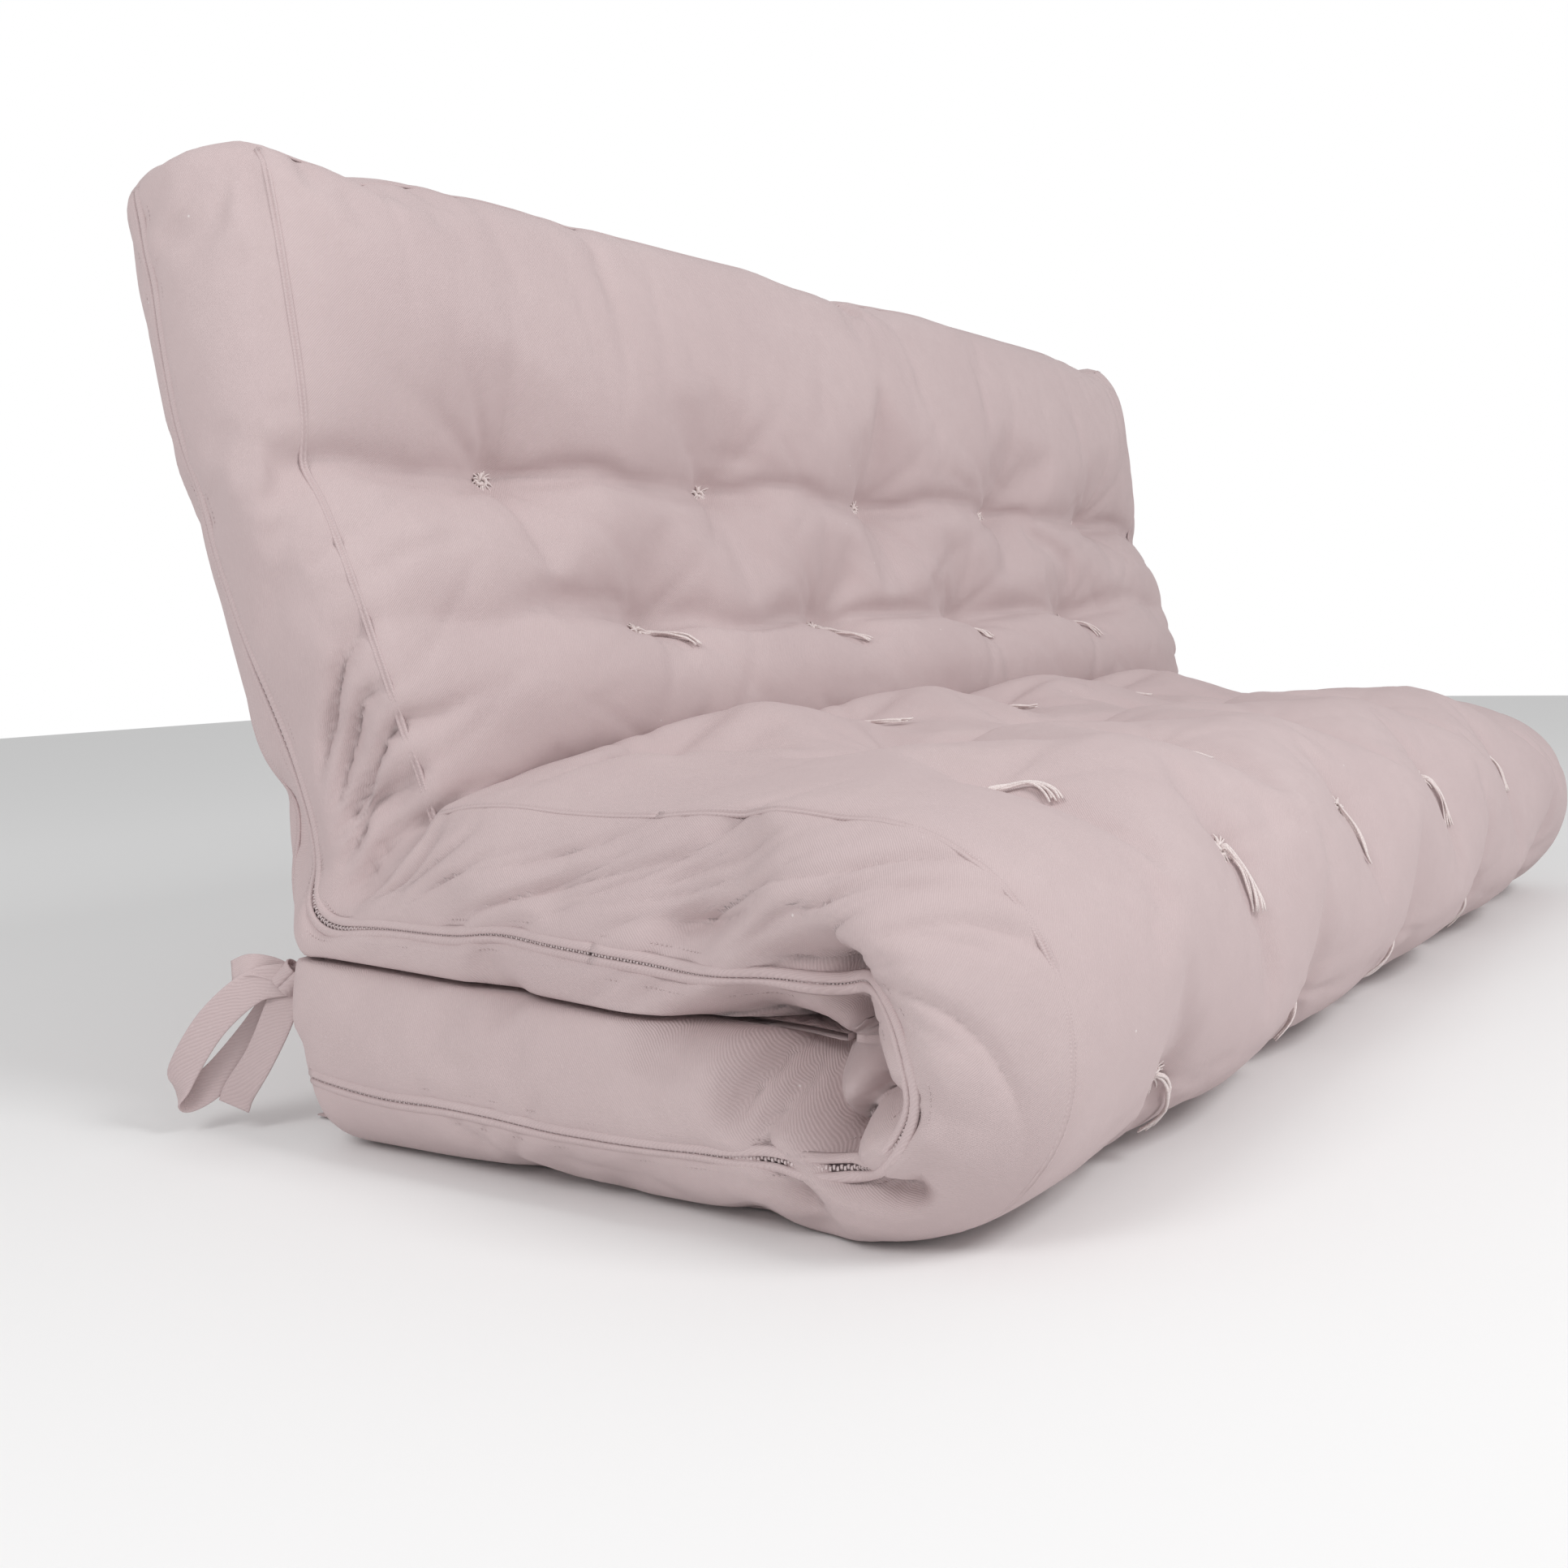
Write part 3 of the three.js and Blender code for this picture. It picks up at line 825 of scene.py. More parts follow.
# %% From the flat cloth to the folded one
triangles = np.concatenate([fine_quads[:, [0, 1, 2]], fine_quads[:, [0, 2, 3]]])
flat_tree = BVHTree.FromPolygons(fine_flat.tolist(), triangles.tolist())
fine_normals = point_normals(fine, fine_quads)


def on_cloth(places, proud=0.0):
    """Takes sharp-box places (along, across, through) to the folded cloth. Returns points, normals."""
    found = np.empty((len(places), 3))
    outward = np.empty((len(places), 3))
    for n, place in enumerate(round_off(np.asarray(places, float))):
        spot, _, index, _ = flat_tree.find_nearest(Vector(place))
        corners = triangles[index]
        weights = poly_3d_calc([Vector(fine_flat[c]) for c in corners], spot)
        found[n] = sum(w * fine[c] for w, c in zip(weights, corners))
        outward[n] = sum(w * fine_normals[c] for w, c in zip(weights, corners))
    outward /= np.maximum(np.linalg.norm(outward, axis=1), 1e-9)[:, None]
    return found + outward * proud, outward


def along_from_run(run, line_run=face_run):
    """From a length along the face line to the place along the flat pad."""
    return np.interp(run, line_run, mid_run)


def along_at_station(station):
    return np.interp(station, station_place, mid_run)


# %% [markdown]
# A seam, a zip tape and a row of stitches are all ribbons: a small profile is carried along a line
# on the cloth. The profile's places are widths across the line and heights above the cloth.

# %% Ribbons along the cloth
def smooth_line(values, spread=2):
    """Averages a line of points with its neighbours, with its ends kept."""
    weight = np.exp(-0.5 * (np.arange(-3 * spread, 3 * spread + 1) / spread) ** 2)
    weight /= weight.sum()
    padded = np.concatenate([np.repeat(values[:1], 3 * spread, 0), values,
                             np.repeat(values[-1:], 3 * spread, 0)])
    smooth = np.stack([np.convolve(padded[:, k], weight, "valid") for k in range(3)], 1)
    smooth[0], smooth[-1] = values[0], values[-1]
    return smooth


def strip(middle, outward, profile):
    """A closed strip: a small profile (widths and heights) carried along a line of points."""
    forward = np.gradient(middle, axis=0)
    forward /= np.maximum(np.linalg.norm(forward, axis=1), 1e-9)[:, None]
    sideways = np.cross(outward, forward)
    sideways /= np.maximum(np.linalg.norm(sideways, axis=1), 1e-9)[:, None]
    upward = np.cross(forward, sideways)
    profile = np.asarray(profile, float)
    count, ring = len(middle), len(profile)
    vertices = (
        middle[:, None]
        + sideways[:, None] * profile[None, :, :1]
        + upward[:, None] * profile[None, :, 1:]
    ).reshape(-1, 3)
    i, j = np.meshgrid(np.arange(count - 1), np.arange(ring), indexing="ij")
    nxt = (j + 1) % ring
    faces = np.stack([i * ring + j, (i + 1) * ring + j, (i + 1) * ring + nxt, i * ring + nxt], -1)
    faces = [tuple(f) for f in faces.reshape(-1, 4).tolist()]
    faces.append(tuple(range(ring)))
    faces.append(tuple((count - 1) * ring + j for j in range(ring))[::-1])
    return vertices, faces


def ribbon(places, profile, spread=1, proud=0.0):
    """A strip along a line on the cloth."""
    middle, outward = on_cloth(places, proud)
    middle, outward = smooth_line(middle, spread), smooth_line(outward, spread)
    outward /= np.linalg.norm(outward, axis=1)[:, None]
    return strip(middle, outward, profile)


def joined(meshes):
    """Several (vertices, faces) pairs as one."""
    vertices, faces, start = [], [], 0
    for some_vertices, some_faces in meshes:
        vertices.append(some_vertices)
        faces += [tuple(n + start for n in face) for face in some_faces]
        start += len(some_vertices)
    return np.concatenate(vertices), faces


# A seam: two low lips of turned cloth with the stitched line sunk between them.
seam_profile = [
    (-0.0036, -0.0008), (-0.0028, 0.0009), (-0.0014, 0.0014), (-0.0004, 0.0001),
    (0.0004, 0.0001), (0.0014, 0.0014), (0.0028, 0.0009), (0.0036, -0.0008),
]
split_along = along_from_run(seat_run(tuft_middle("seat_tuft_6")[0]))
print(f"the pad is cut at {split_along:.3f} m along, in the valley of the seat's second row")

# %% [markdown]
# The pad crosses two joints, and a piece can bend over only one. So the cover is two pieces that
# meet in the seat's second valley, where no eye looks for a joint: the back with the rear of the
# seat, and the front of the seat with the roll and the lower section. Each is closed inside.

# %% Two halves of the cover
SPINE_COUNT = 25


def half_of_cover(name, keep):
    """One side of the cut, closed inside along a spine, with the whole cover's soft shading."""
    chosen = fine_quads[keep[fine_quads].all(axis=1)]
    used = np.unique(chosen)
    order = -np.ones(len(fine), int)
    order[used] = np.arange(len(used))
    faces = order[chosen]
    edges = np.concatenate([faces[:, [n, (n + 1) % 4]] for n in range(4)])
    key = edges[:, 0] * len(used) + edges[:, 1]
    back_key = edges[:, 1] * len(used) + edges[:, 0]
    rim = edges[~np.isin(key, back_key)]
    rim_points = fine[used][np.unique(rim)]
    spine = np.tile(rim_points.mean(axis=0), (SPINE_COUNT, 1))
    spine[:, 0] = np.linspace(-1, 1, SPINE_COUNT) * (half_width - thick / 2)
    nearest = np.abs(fine[used][:, :1] - spine[None, :, 0]).argmin(axis=1) + len(used)
    closing_faces = []
    for p, q in rim:
        corners = [int(q), int(p), int(nearest[p])]
        if nearest[q] != nearest[p]:
            corners.append(int(nearest[q]))
        closing_faces.append(tuple(corners))
    obj = new_mesh(name, np.concatenate([fine[used], spine]), faces.tolist() + closing_faces)
    obj.data.shade_smooth()
    weave = obj.data.uv_layers.new(name="weave")
    weave_u = np.append(fine_unrolled[used, 0], np.zeros(SPINE_COUNT))
    weave_v = np.append(fine_unrolled[used, 1], np.zeros(SPINE_COUNT))
    loops = np.empty(len(obj.data.loops), int)
    obj.data.loops.foreach_get("vertex_index", loops)
    weave.data.foreach_set("uv", np.stack([weave_u[loops], weave_v[loops]], 1).ravel())
    normals = np.concatenate([fine_normals[used], np.tile([0, 0, 1.0], (SPINE_COUNT, 1))])
    obj.data.normals_split_custom_set_from_vertices(normals.tolist())
    return obj


fine_unrolled = np.stack(
    [
        fine_run,
        np.sign(fine_flat[:, 1]) * (np.abs(fine_flat[:, 1]) + (1 - fine_share) * thick),
    ],
    1,
)
cut_station = fine_flat[fine_flat[:, 0] <= split_along, 0].max()
cover_back = half_of_cover("cover_back_and_seat", fine_flat[:, 0] <= cut_station + 1e-6)
cover_front = half_of_cover("cover_roll_and_lower", fine_flat[:, 0] >= cut_station - 1e-6)
bpy.data.objects.remove(shell)
print("halves", len(cover_back.data.polygons), len(cover_front.data.polygons))

# %% [markdown]
# The two rules for pieces on each half are written once, so that everything sewn on a half is
# treated alike. Each only bakes the piece's place into its mesh; neither bends it. In the shape itself
# the cloth turns softly round the rear fold line, and sharply inside the roll, where the two layers
# touch and neither can reach past the other.


def follow_rear_fold(piece):
    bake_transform(piece)


def follow_front_fold(piece):
    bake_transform(piece)


def finish_piece(name, mesh, follow, finish):
    """Makes an object of a (vertices, faces) pair, with its finish in a material slot and a weave map, then
    passes it to the follow rule or hangs it on the named body.
    """
    obj = new_mesh(name, *mesh)
    obj.data.shade_smooth()
    obj.data.materials.append(finish)
    spots = vertex_array(obj)
    loops = np.empty(len(obj.data.loops), int)
    obj.data.loops.foreach_get("vertex_index", loops)
    lying = np.stack([0.7 * (spots[:, 1] + spots[:, 2]), spots[:, 0]], 1)
    obj.data.uv_layers.new(name="weave").data.foreach_set("uv", lying[loops].ravel())
    if callable(follow):
        follow(obj)
    else:
        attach(obj, follow)
    return obj


# %% [markdown]
# The cover is cotton twill: threads that step over each other and leave fine diagonal ribs. The
# ribs are a wave across the flat cloth, slightly unsteady, and they raise the surface; the hollows
# between the ribs are also painted darker, as painted shade. Slubs, washed-out patches and a little
# lint keep it from looking printed. A soft sheen lightens the cloth where it turns away, as the fuzz
# on brushed cotton does.

# %% Node helpers
def new_finish(name, colour, roughness):
    material = bpy.data.materials.new(name)
    material.use_nodes = True
    shader = material.node_tree.nodes["Principled BSDF"]
    shader.inputs["Base Color"].default_value = (*colour, 1)
    shader.inputs["Roughness"].default_value = roughness
    return material


def add_node(material, kind, **inputs):
    node = material.node_tree.nodes.new(kind)
    for name, value in inputs.items():
        node.inputs[name.replace("_", " ")].default_value = value
    return node


def math_node(material, operation, first, second):
    node = material.node_tree.nodes.new("ShaderNodeMath")
    node.operation = operation
    for socket, value in zip(node.inputs, (first, second)):
        if isinstance(value, (int, float)):
            socket.default_value = value
        else:
            material.node_tree.links.new(value, socket)
    return node.outputs[0]


def mix_colour(material, share, first, second, blend="MIX"):
    node = material.node_tree.nodes.new("ShaderNodeMix")
    node.data_type = "RGBA"
    node.blend_type = blend
    for socket, value in zip((node.inputs[0], node.inputs[6], node.inputs[7]), (share, first, second)):
        if isinstance(value, (int, float)):
            socket.default_value = value
        elif isinstance(value, tuple):
            socket.default_value = (*value, 1)
        else:
            material.node_tree.links.new(value, socket)
    return node.outputs[2]


def noise(material, coordinate, scale, detail=3.0, roughness=0.55):
    node = add_node(material, "ShaderNodeTexNoise", Scale=scale, Detail=detail, Roughness=roughness)
    material.node_tree.links.new(coordinate, node.inputs["Vector"])
    return node.outputs["Fac"]


def ramp_node(material, value, start, end, low=0.0, high=1.0):
    node = add_node(material, "ShaderNodeMapRange")
    for socket, number in zip(list(node.inputs)[1:5], (start, end, low, high)):
        socket.default_value = number
    material.node_tree.links.new(value, node.inputs[0])
    return node.outputs[0]


def add_bump(material, height, strength, distance, after=None):
    node = add_node(material, "ShaderNodeBump", Strength=strength, Distance=distance)
    material.node_tree.links.new(height, node.inputs["Height"])
    if after is not None:
        material.node_tree.links.new(after, node.inputs["Normal"])
    return node.outputs["Normal"]


# %% Cotton twill
RIB = 0.0021  # from one diagonal rib of the twill to the next
THREAD = 0.0011  # from one thread in a rib to the next
twill = new_finish("pink_twill", (0.60, 0.485, 0.485), 0.92)
links = twill.node_tree.links
weave_map = twill.node_tree.nodes.new("ShaderNodeUVMap")
weave_map.uv_map = "weave"
flat_cloth = weave_map.outputs["UV"]
place = twill.node_tree.nodes.new("ShaderNodeTexCoord").outputs["Object"]
parts = twill.node_tree.nodes.new("ShaderNodeSeparateXYZ")
links.new(flat_cloth, parts.inputs[0])
wander = noise(twill, flat_cloth, 90.0, 2.0)
diagonal = math_node(twill, "ADD", parts.outputs[0], parts.outputs[1])
diagonal = math_node(twill, "ADD", diagonal, math_node(twill, "MULTIPLY", wander, RIB * 1.2))
rib_wave = math_node(twill, "SINE", math_node(twill, "MULTIPLY", diagonal, 2 * math.pi / RIB), 0)
rib_share = ramp_node(twill, rib_wave, -1.0, 1.0)
across_ribs = math_node(twill, "SUBTRACT", parts.outputs[0], parts.outputs[1])
threads_along = math_node(twill, "MULTIPLY", across_ribs, 2 * math.pi / THREAD)
thread_wave = math_node(twill, "SINE", threads_along, 0)
thread_share = ramp_node(twill, thread_wave, -1.0, 1.0)
weave_height = math_node(twill, "ADD", rib_share, math_node(twill, "MULTIPLY", thread_share, 0.35))
slub = noise(twill, flat_cloth, 420.0, 2.0)
patches = noise(twill, place, 5.0, 3.0)
fine_patches = noise(twill, place, 38.0, 4.0)
patch_share = ramp_node(twill, patches, 0.35, 0.65)
colour = mix_colour(twill, patch_share, (0.590, 0.474, 0.476), (0.625, 0.508, 0.508))
colour = mix_colour(twill, ramp_node(twill, fine_patches, 0.3, 0.7, 0.0, 0.5), colour, (0.575, 0.462, 0.463))
# painted shade: the hollows between the twill ribs are mixed towards a dark pink
colour = mix_colour(twill, ramp_node(twill, rib_share, 0.0, 0.55, 0.22, 0.0), colour, (0.45, 0.345, 0.35))
colour = mix_colour(twill, ramp_node(twill, slub, 0.62, 0.80, 0.0, 0.35), colour, (0.72, 0.62, 0.62))
lint = add_node(twill, "ShaderNodeTexVoronoi", Scale=22.0, Randomness=1.0)
links.new(place, lint.inputs["Vector"])
lint_share = ramp_node(twill, lint.outputs["Distance"], 0.012, 0.030, 0.8, 0.0)
colour = mix_colour(twill, lint_share, colour, (0.82, 0.76, 0.75))
shader = twill.node_tree.nodes["Principled BSDF"]
links.new(colour, shader.inputs["Base Color"])
links.new(ramp_node(twill, slub, 0.3, 0.7, 0.88, 0.98), shader.inputs["Roughness"])
soft_bump = add_bump(twill, noise(twill, place, 55.0, 3.0), 0.35, 0.0025)
links.new(add_bump(twill, weave_height, 0.55, 0.0004, soft_bump), shader.inputs["Normal"])
shader.inputs["Specular IOR Level"].default_value = 0.15
shader.inputs["Sheen Weight"].default_value = 0.22
shader.inputs["Sheen Roughness"].default_value = 0.45
shader.inputs["Sheen Tint"].default_value = (0.95, 0.86, 0.86, 1)

# %% [markdown]
# Twine, tape, coil and metal are small, but each still has its own grain: twisted plies on the
# twine, a fine woven rib on the tape, smooth nylon on the coil and brushed lacquer on the slider.
# The zip tape is coloured almost black as painted shade, for the deep shadow in the zip's gap.

# %% Twine, tape, coil and metal
def grained(name, dark, light, roughness, scale, bump, metallic=0.0):
    material = new_finish(name, light, roughness)
    spots = material.node_tree.nodes.new("ShaderNodeTexCoord").outputs["Object"]
    grain = noise(material, spots, scale, 4.0)
    share = ramp_node(material, grain, 0.35, 0.65)
    bsdf = material.node_tree.nodes["Principled BSDF"]
    material.node_tree.links.new(mix_colour(material, share, dark, light), bsdf.inputs["Base Color"])
    rough = ramp_node(material, grain, 0.3, 0.7, roughness - 0.07, roughness + 0.05)
    material.node_tree.links.new(rough, bsdf.inputs["Roughness"])
    material.node_tree.links.new(add_bump(material, grain, bump, 0.0004), bsdf.inputs["Normal"])
    bsdf.inputs["Metallic"].default_value = metallic
    return material


twine = grained("cotton_twine", (0.70, 0.60, 0.59), (0.90, 0.82, 0.80), 0.88, 900.0, 0.7)
thread = grained("sewing_thread", (0.56, 0.45, 0.45), (0.70, 0.59, 0.59), 0.80, 1200.0, 0.4)
# painted shade: the zip tape is real, but its near-black colour stands for the shadow between the lips
zip_tape_painted_shade = grained("zip_tape_painted_shade", (0.13, 0.095, 0.10), (0.20, 0.15, 0.155), 0.85, 1500.0, 0.5)
coil_nylon = grained("coil_nylon", (0.55, 0.45, 0.45), (0.72, 0.62, 0.62), 0.38, 300.0, 0.1)
zip_metal = grained("zip_metal", (0.36, 0.30, 0.31), (0.48, 0.41, 0.42), 0.32, 700.0, 0.2, 0.9)
for node in ("zip_slider", "zip_pull"):
    metal_part = bpy.data.objects[node]
    for material_slot in metal_part.material_slots:
        material_slot.material = zip_metal
print("finishes", [m.name for m in bpy.data.materials if m.users])

for cover, follow, names in (
    (cover_back, follow_rear_fold, ("back_", "seat_")),
    (cover_front, follow_front_fold, ("lower_", "roll_")),
):
    cover.data.materials.append(twill)
    follow(cover)
    soft_nodes = [n for n in frame["nodes"] if n.startswith(names)]
    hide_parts(*[n for n in soft_nodes if "tuft" not in n and "zip" not in n])

# %% [markdown]
# The seams join the face panels to the boxing. They lie most of the way round the soft edge, so the
# face shows a fine line that runs beside every edge of the pad.

# %% Seams
def side_seam(side, start, end, on_top=True, inset=0.041, step=0.008):
    """Places along a seam on one side, between two lengths along the flat pad."""
    along = np.linspace(start, end, round((end - start) / step) + 1)
    across = side * (half_width - inset) * np.ones_like(along)
    through = (thick if on_top else -thick) / 2 * np.ones_like(along)
    return np.stack([along, across, through], 1)


def end_seam(along, on_top=True, inset=0.041, step=0.010):
    across = np.arange(-half_width + inset, half_width - inset, step)
    through = (thick if on_top else -thick) / 2 * np.ones_like(across)
    return np.stack([along * np.ones_like(across), across, through], 1)


end_inset = 0.020
pad_end = pad_length
outer_station = along_at_station(0.97)
seams_back = joined([
    ribbon(side_seam(-1, end_inset, split_along), seam_profile),
    ribbon(side_seam(1, end_inset, split_along), seam_profile),
    ribbon(side_seam(-1, end_inset, outer_station, False, 0.03), seam_profile),
    ribbon(side_seam(1, end_inset, outer_station, False, 0.03), seam_profile),
    ribbon(end_seam(end_inset), seam_profile),
    ribbon(end_seam(end_inset, False, 0.03), seam_profile),
])
seams_front = joined([
    ribbon(side_seam(-1, split_along, pad_end - end_inset), seam_profile),
    ribbon(side_seam(1, split_along, pad_end - end_inset), seam_profile),
    ribbon(end_seam(pad_end - end_inset), seam_profile),
    ribbon(end_seam(pad_end - end_inset, False, 0.01), seam_profile),
])
finish_piece("seams_back_and_seat", seams_back, follow_rear_fold, twill)
finish_piece("seams_roll_and_lower", seams_front, follow_front_fold, twill)
print("seams", len(seams_back[0]) + len(seams_front[0]), "points")

# %% [markdown]
# The zip runs along the boxing of the left side. Each half of the boxing is turned under at the zip,
# which leaves two soft lips that nearly close over the coil, with a row of stitches beside each. A
# strip of near-black zip tape under the lips is painted shade for the shadow in the gap.
# On the back and the seat the filling pushes the zip towards the rear, and below the roll it swings
# towards the floor.

# %% Zip line
def zip_places(start, end, step=0.006, shift=0.0):
    along = np.linspace(start, end, round((end - start) / step) + 1)
    through = (zip_share(along) - 0.5) * thick + shift
    return np.stack([along, -half_width * np.ones_like(along), through], 1)


lip_profile = [
    (-0.0068, 0.0004), (-0.0054, 0.0024), (-0.0032, 0.0036), (-0.0012, 0.0039), (0.0002, 0.0035),
    (0.0009, 0.0024), (0.0008, 0.0014), (0.0001, 0.0003), (-0.0040, 0.0001),
]
other_lip = [(-x, z) for x, z in lip_profile][::-1]
# the gutter is a flat strip under the lips in the near-black zip tape finish: painted shade in the gap
gutter_profile = [(-0.0048, -0.0012), (-0.0048, 0.0003), (0.0048, 0.0003), (0.0048, -0.0012)]


def zip_opening(along):
    """Half the gap between the lips: mostly shut, open where the cloth bends."""
    station = np.interp(along, mid_run, station_place)
    bends = np.exp(-(((station - 1.0) / 0.10) ** 2)) + np.exp(-(((station - 3.0) / 0.12) ** 2))
    loose = np.clip(waves(along, 62, 0.15, 0.5), 0, 1)
    return 0.0002 + 0.0006 * loose + 0.0018 * np.clip(bends, 0, 1)


def zip_strips(start, end):
    places = zip_places(start, end)
    middle, outward = on_cloth(places)
    middle, outward = smooth_line(middle, 2), smooth_line(outward, 2)
    outward /= np.linalg.norm(outward, axis=1)[:, None]
    forward = np.gradient(middle, axis=0)
    sideways = np.cross(outward, forward)
    sideways /= np.linalg.norm(sideways, axis=1)[:, None]
    gap = zip_opening(places[:, 0])[:, None]
    first = strip(middle - sideways * (gap + 0.0012), outward, lip_profile)
    second = strip(middle + sideways * (gap + 0.0012), outward, other_lip)
    gutter = strip(middle, outward, gutter_profile)
    return joined([first, second]), gutter, (middle, outward, sideways)


def teeth(line, pitch=0.0026):
    """The coil: one small hooped tooth after the other, leaning left and right."""
    middle, outward, sideways = line
    run = np.concatenate([[0], np.cumsum(np.linalg.norm(np.diff(middle, axis=0), axis=1))])
    count = int(run[-1] / pitch)
    at = (np.arange(count) + 0.5) * pitch
    pick = [np.stack([np.interp(at, run, v[:, k]) for k in range(3)], 1) for v in line]
    forward = np.cross(pick[2], pick[1])
    hoop = [(-0.0020, 0.0002), (-0.0014, 0.0016), (0.0, 0.0022), (0.0014, 0.0016), (0.0020, 0.0002)]
    meshes = []
    half = pitch * 0.32
    for n in range(count):
        centre, up, side, ahead = pick[0][n], pick[1][n], pick[2][n], forward[n]
        skew = (0.0006 if n % 2 else -0.0006)
        ring = [centre + side * (x + skew) + up * z for x, z in hoop]
        front = [p + ahead * half for p in ring]
        rear = [p - ahead * half for p in ring]
        count_ring = len(ring)
        faces = [(i, i + 1, count_ring + i + 1, count_ring + i) for i in range(count_ring - 1)]
        faces.append(tuple(range(count_ring))[::-1])
        faces.append(tuple(count_ring + i for i in range(count_ring)))
        faces.append((count_ring - 1, 0, count_ring, 2 * count_ring - 1))
        meshes.append((np.array(rear + front), faces))
    return joined(meshes)


for half_name, start, end, follow, nodes in (
    ("back_and_seat", 0.020, split_along, follow_rear_fold, ("back_zip", "seat_zip")),
    ("roll_and_lower", split_along, pad_end - 0.014, follow_front_fold, ("lower_zip",)),
):
    lips, gutter, line = zip_strips(start, end)
    finish_piece(f"zip_lips_{half_name}", lips, follow, twill)
    # this strip's dark finish is painted shade for the shadow between the lips
    tape = finish_piece(f"zip_tape_painted_shade_{half_name}", gutter, follow, zip_tape_painted_shade)
    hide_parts(*nodes)
    coil = finish_piece(f"zip_coil_{half_name}", teeth(line), follow, coil_nylon)
    coil.data.shade_flat()
    print(f"zip on {half_name}: {len(coil.data.polygons)} coil faces")

# %% [markdown]
# Topstitching: short threads with gaps between them, one row beside each lip of the zip.

# %% Topstitching
def stitches(middle, outward, length=0.0026, pitch=0.0040, width=0.0005, high=0.0004):
    """A row of short threads along a line of points."""
    run = np.concatenate([[0], np.cumsum(np.linalg.norm(np.diff(middle, axis=0), axis=1))])
    at = np.arange(pitch, run[-1], pitch)
    spot = np.stack([np.interp(at, run, middle[:, k]) for k in range(3)], 1)
    up = np.stack([np.interp(at, run, outward[:, k]) for k in range(3)], 1)
    up /= np.linalg.norm(up, axis=1)[:, None]
    ahead = np.gradient(spot, axis=0)
    ahead /= np.maximum(np.linalg.norm(ahead, axis=1), 1e-9)[:, None]
    side = np.cross(up, ahead)
    corners = [
        -ahead * length / 2 - up * 0.0002, side * width - up * 0.0001, ahead * length / 2 - up * 0.0002,
        -side * width - up * 0.0001, up * high,
    ]
    vertices = np.stack([spot + c for c in corners], 1).reshape(-1, 3)
    faces = []
    for n in range(len(at)):
        k = 5 * n
        faces += [(k, k + 3, k + 4), (k + 3, k + 2, k + 4), (k + 2, k + 1, k + 4), (k + 1, k, k + 4),
                  (k, k + 1, k + 2, k + 3)]
    return vertices, faces


def stitches_on_cloth(places):
    middle, outward = on_cloth(places)
    return stitches(smooth_line(middle, 1), smooth_line(outward, 1))


for half_name, start, end, follow in (
    ("back_and_seat", 0.020, split_along, follow_rear_fold),
    ("roll_and_lower", split_along, pad_end - 0.014, follow_front_fold),
):
    rows = [stitches_on_cloth(zip_places(start, end, 0.006, shift)) for shift in (-0.0135, 0.0135)]
    finish_piece(f"topstitch_{half_name}", joined(rows), follow, thread)

# %% [markdown]
# A tuft is a length of twine through the whole pad, tied in a knot on each face. The knot is drawn
# as one closed loop of twine wound three times over itself, which looks tied from every side. On
# the face side the ends are left long and fray into a tassel, which hangs down over the cloth.

# %% Knots
def tube(path, radius, sides=6, closed=False):
    """A round tube along a path; radius may change along it."""
    path = np.asarray(path, float)
    radius = np.broadcast_to(radius, len(path))
    if closed:
        forward = np.roll(path, -1, 0) - np.roll(path, 1, 0)
    else:
        forward = np.gradient(path, axis=0)
    forward /= np.maximum(np.linalg.norm(forward, axis=1), 1e-12)[:, None]
    side = np.cross(forward[0], (0.3, 0.5, 0.8))
    vertices = []
    for n in range(len(path)):
        side = side - forward[n] * (side @ forward[n])
        side /= np.linalg.norm(side)
        up = np.cross(forward[n], side)
        angle = np.arange(sides) * 2 * math.pi / sides
        vertices.append(path[n] + radius[n] * (np.cos(angle)[:, None] * side + np.sin(angle)[:, None] * up))
    faces = []
    last = len(path) if closed else len(path) - 1
    for n in range(last):
        m = (n + 1) % len(path)
        for j in range(sides):
            k = (j + 1) % sides
            faces.append((n * sides + j, n * sides + k, m * sides + k, m * sides + j))
    if not closed:
        faces.append(tuple(range(sides))[::-1])
        faces.append(tuple((len(path) - 1) * sides + j for j in range(sides)))
    return np.concatenate(vertices), faces


def frame_at(outward, draw):
    """Two directions along the cloth at a place, turned at random."""
    across = np.cross(outward, (0.2, 0.9, 0.3))
    across /= np.linalg.norm(across)
    along = np.cross(outward, across)
    turn = draw.uniform(0, 2 * math.pi)
    return (across * math.cos(turn) + along * math.sin(turn),
            along * math.cos(turn) - across * math.sin(turn))


def knot_mesh(spot, outward, draw, size=0.0046):
    across, along = frame_at(outward, draw)
    t = np.linspace(0, 2 * math.pi, 40, endpoint=False)
    ring = 1 + 0.5 * np.cos(3 * t)
    path = (
        spot
        + outward * 0.0026
        + size * (ring * np.cos(2 * t))[:, None] * across
        + size * 0.8 * (ring * np.sin(2 * t))[:, None] * along
        + size * 0.55 * np.sin(3 * t)[:, None] * outward
    )
    return tube(path, 0.0017, 6, closed=True)


# The strands of a tassel fall along the cloth: from each place the next lies a step down the slope.
folded_tree = BVHTree.FromPolygons(fine.tolist(), triangles.tolist())


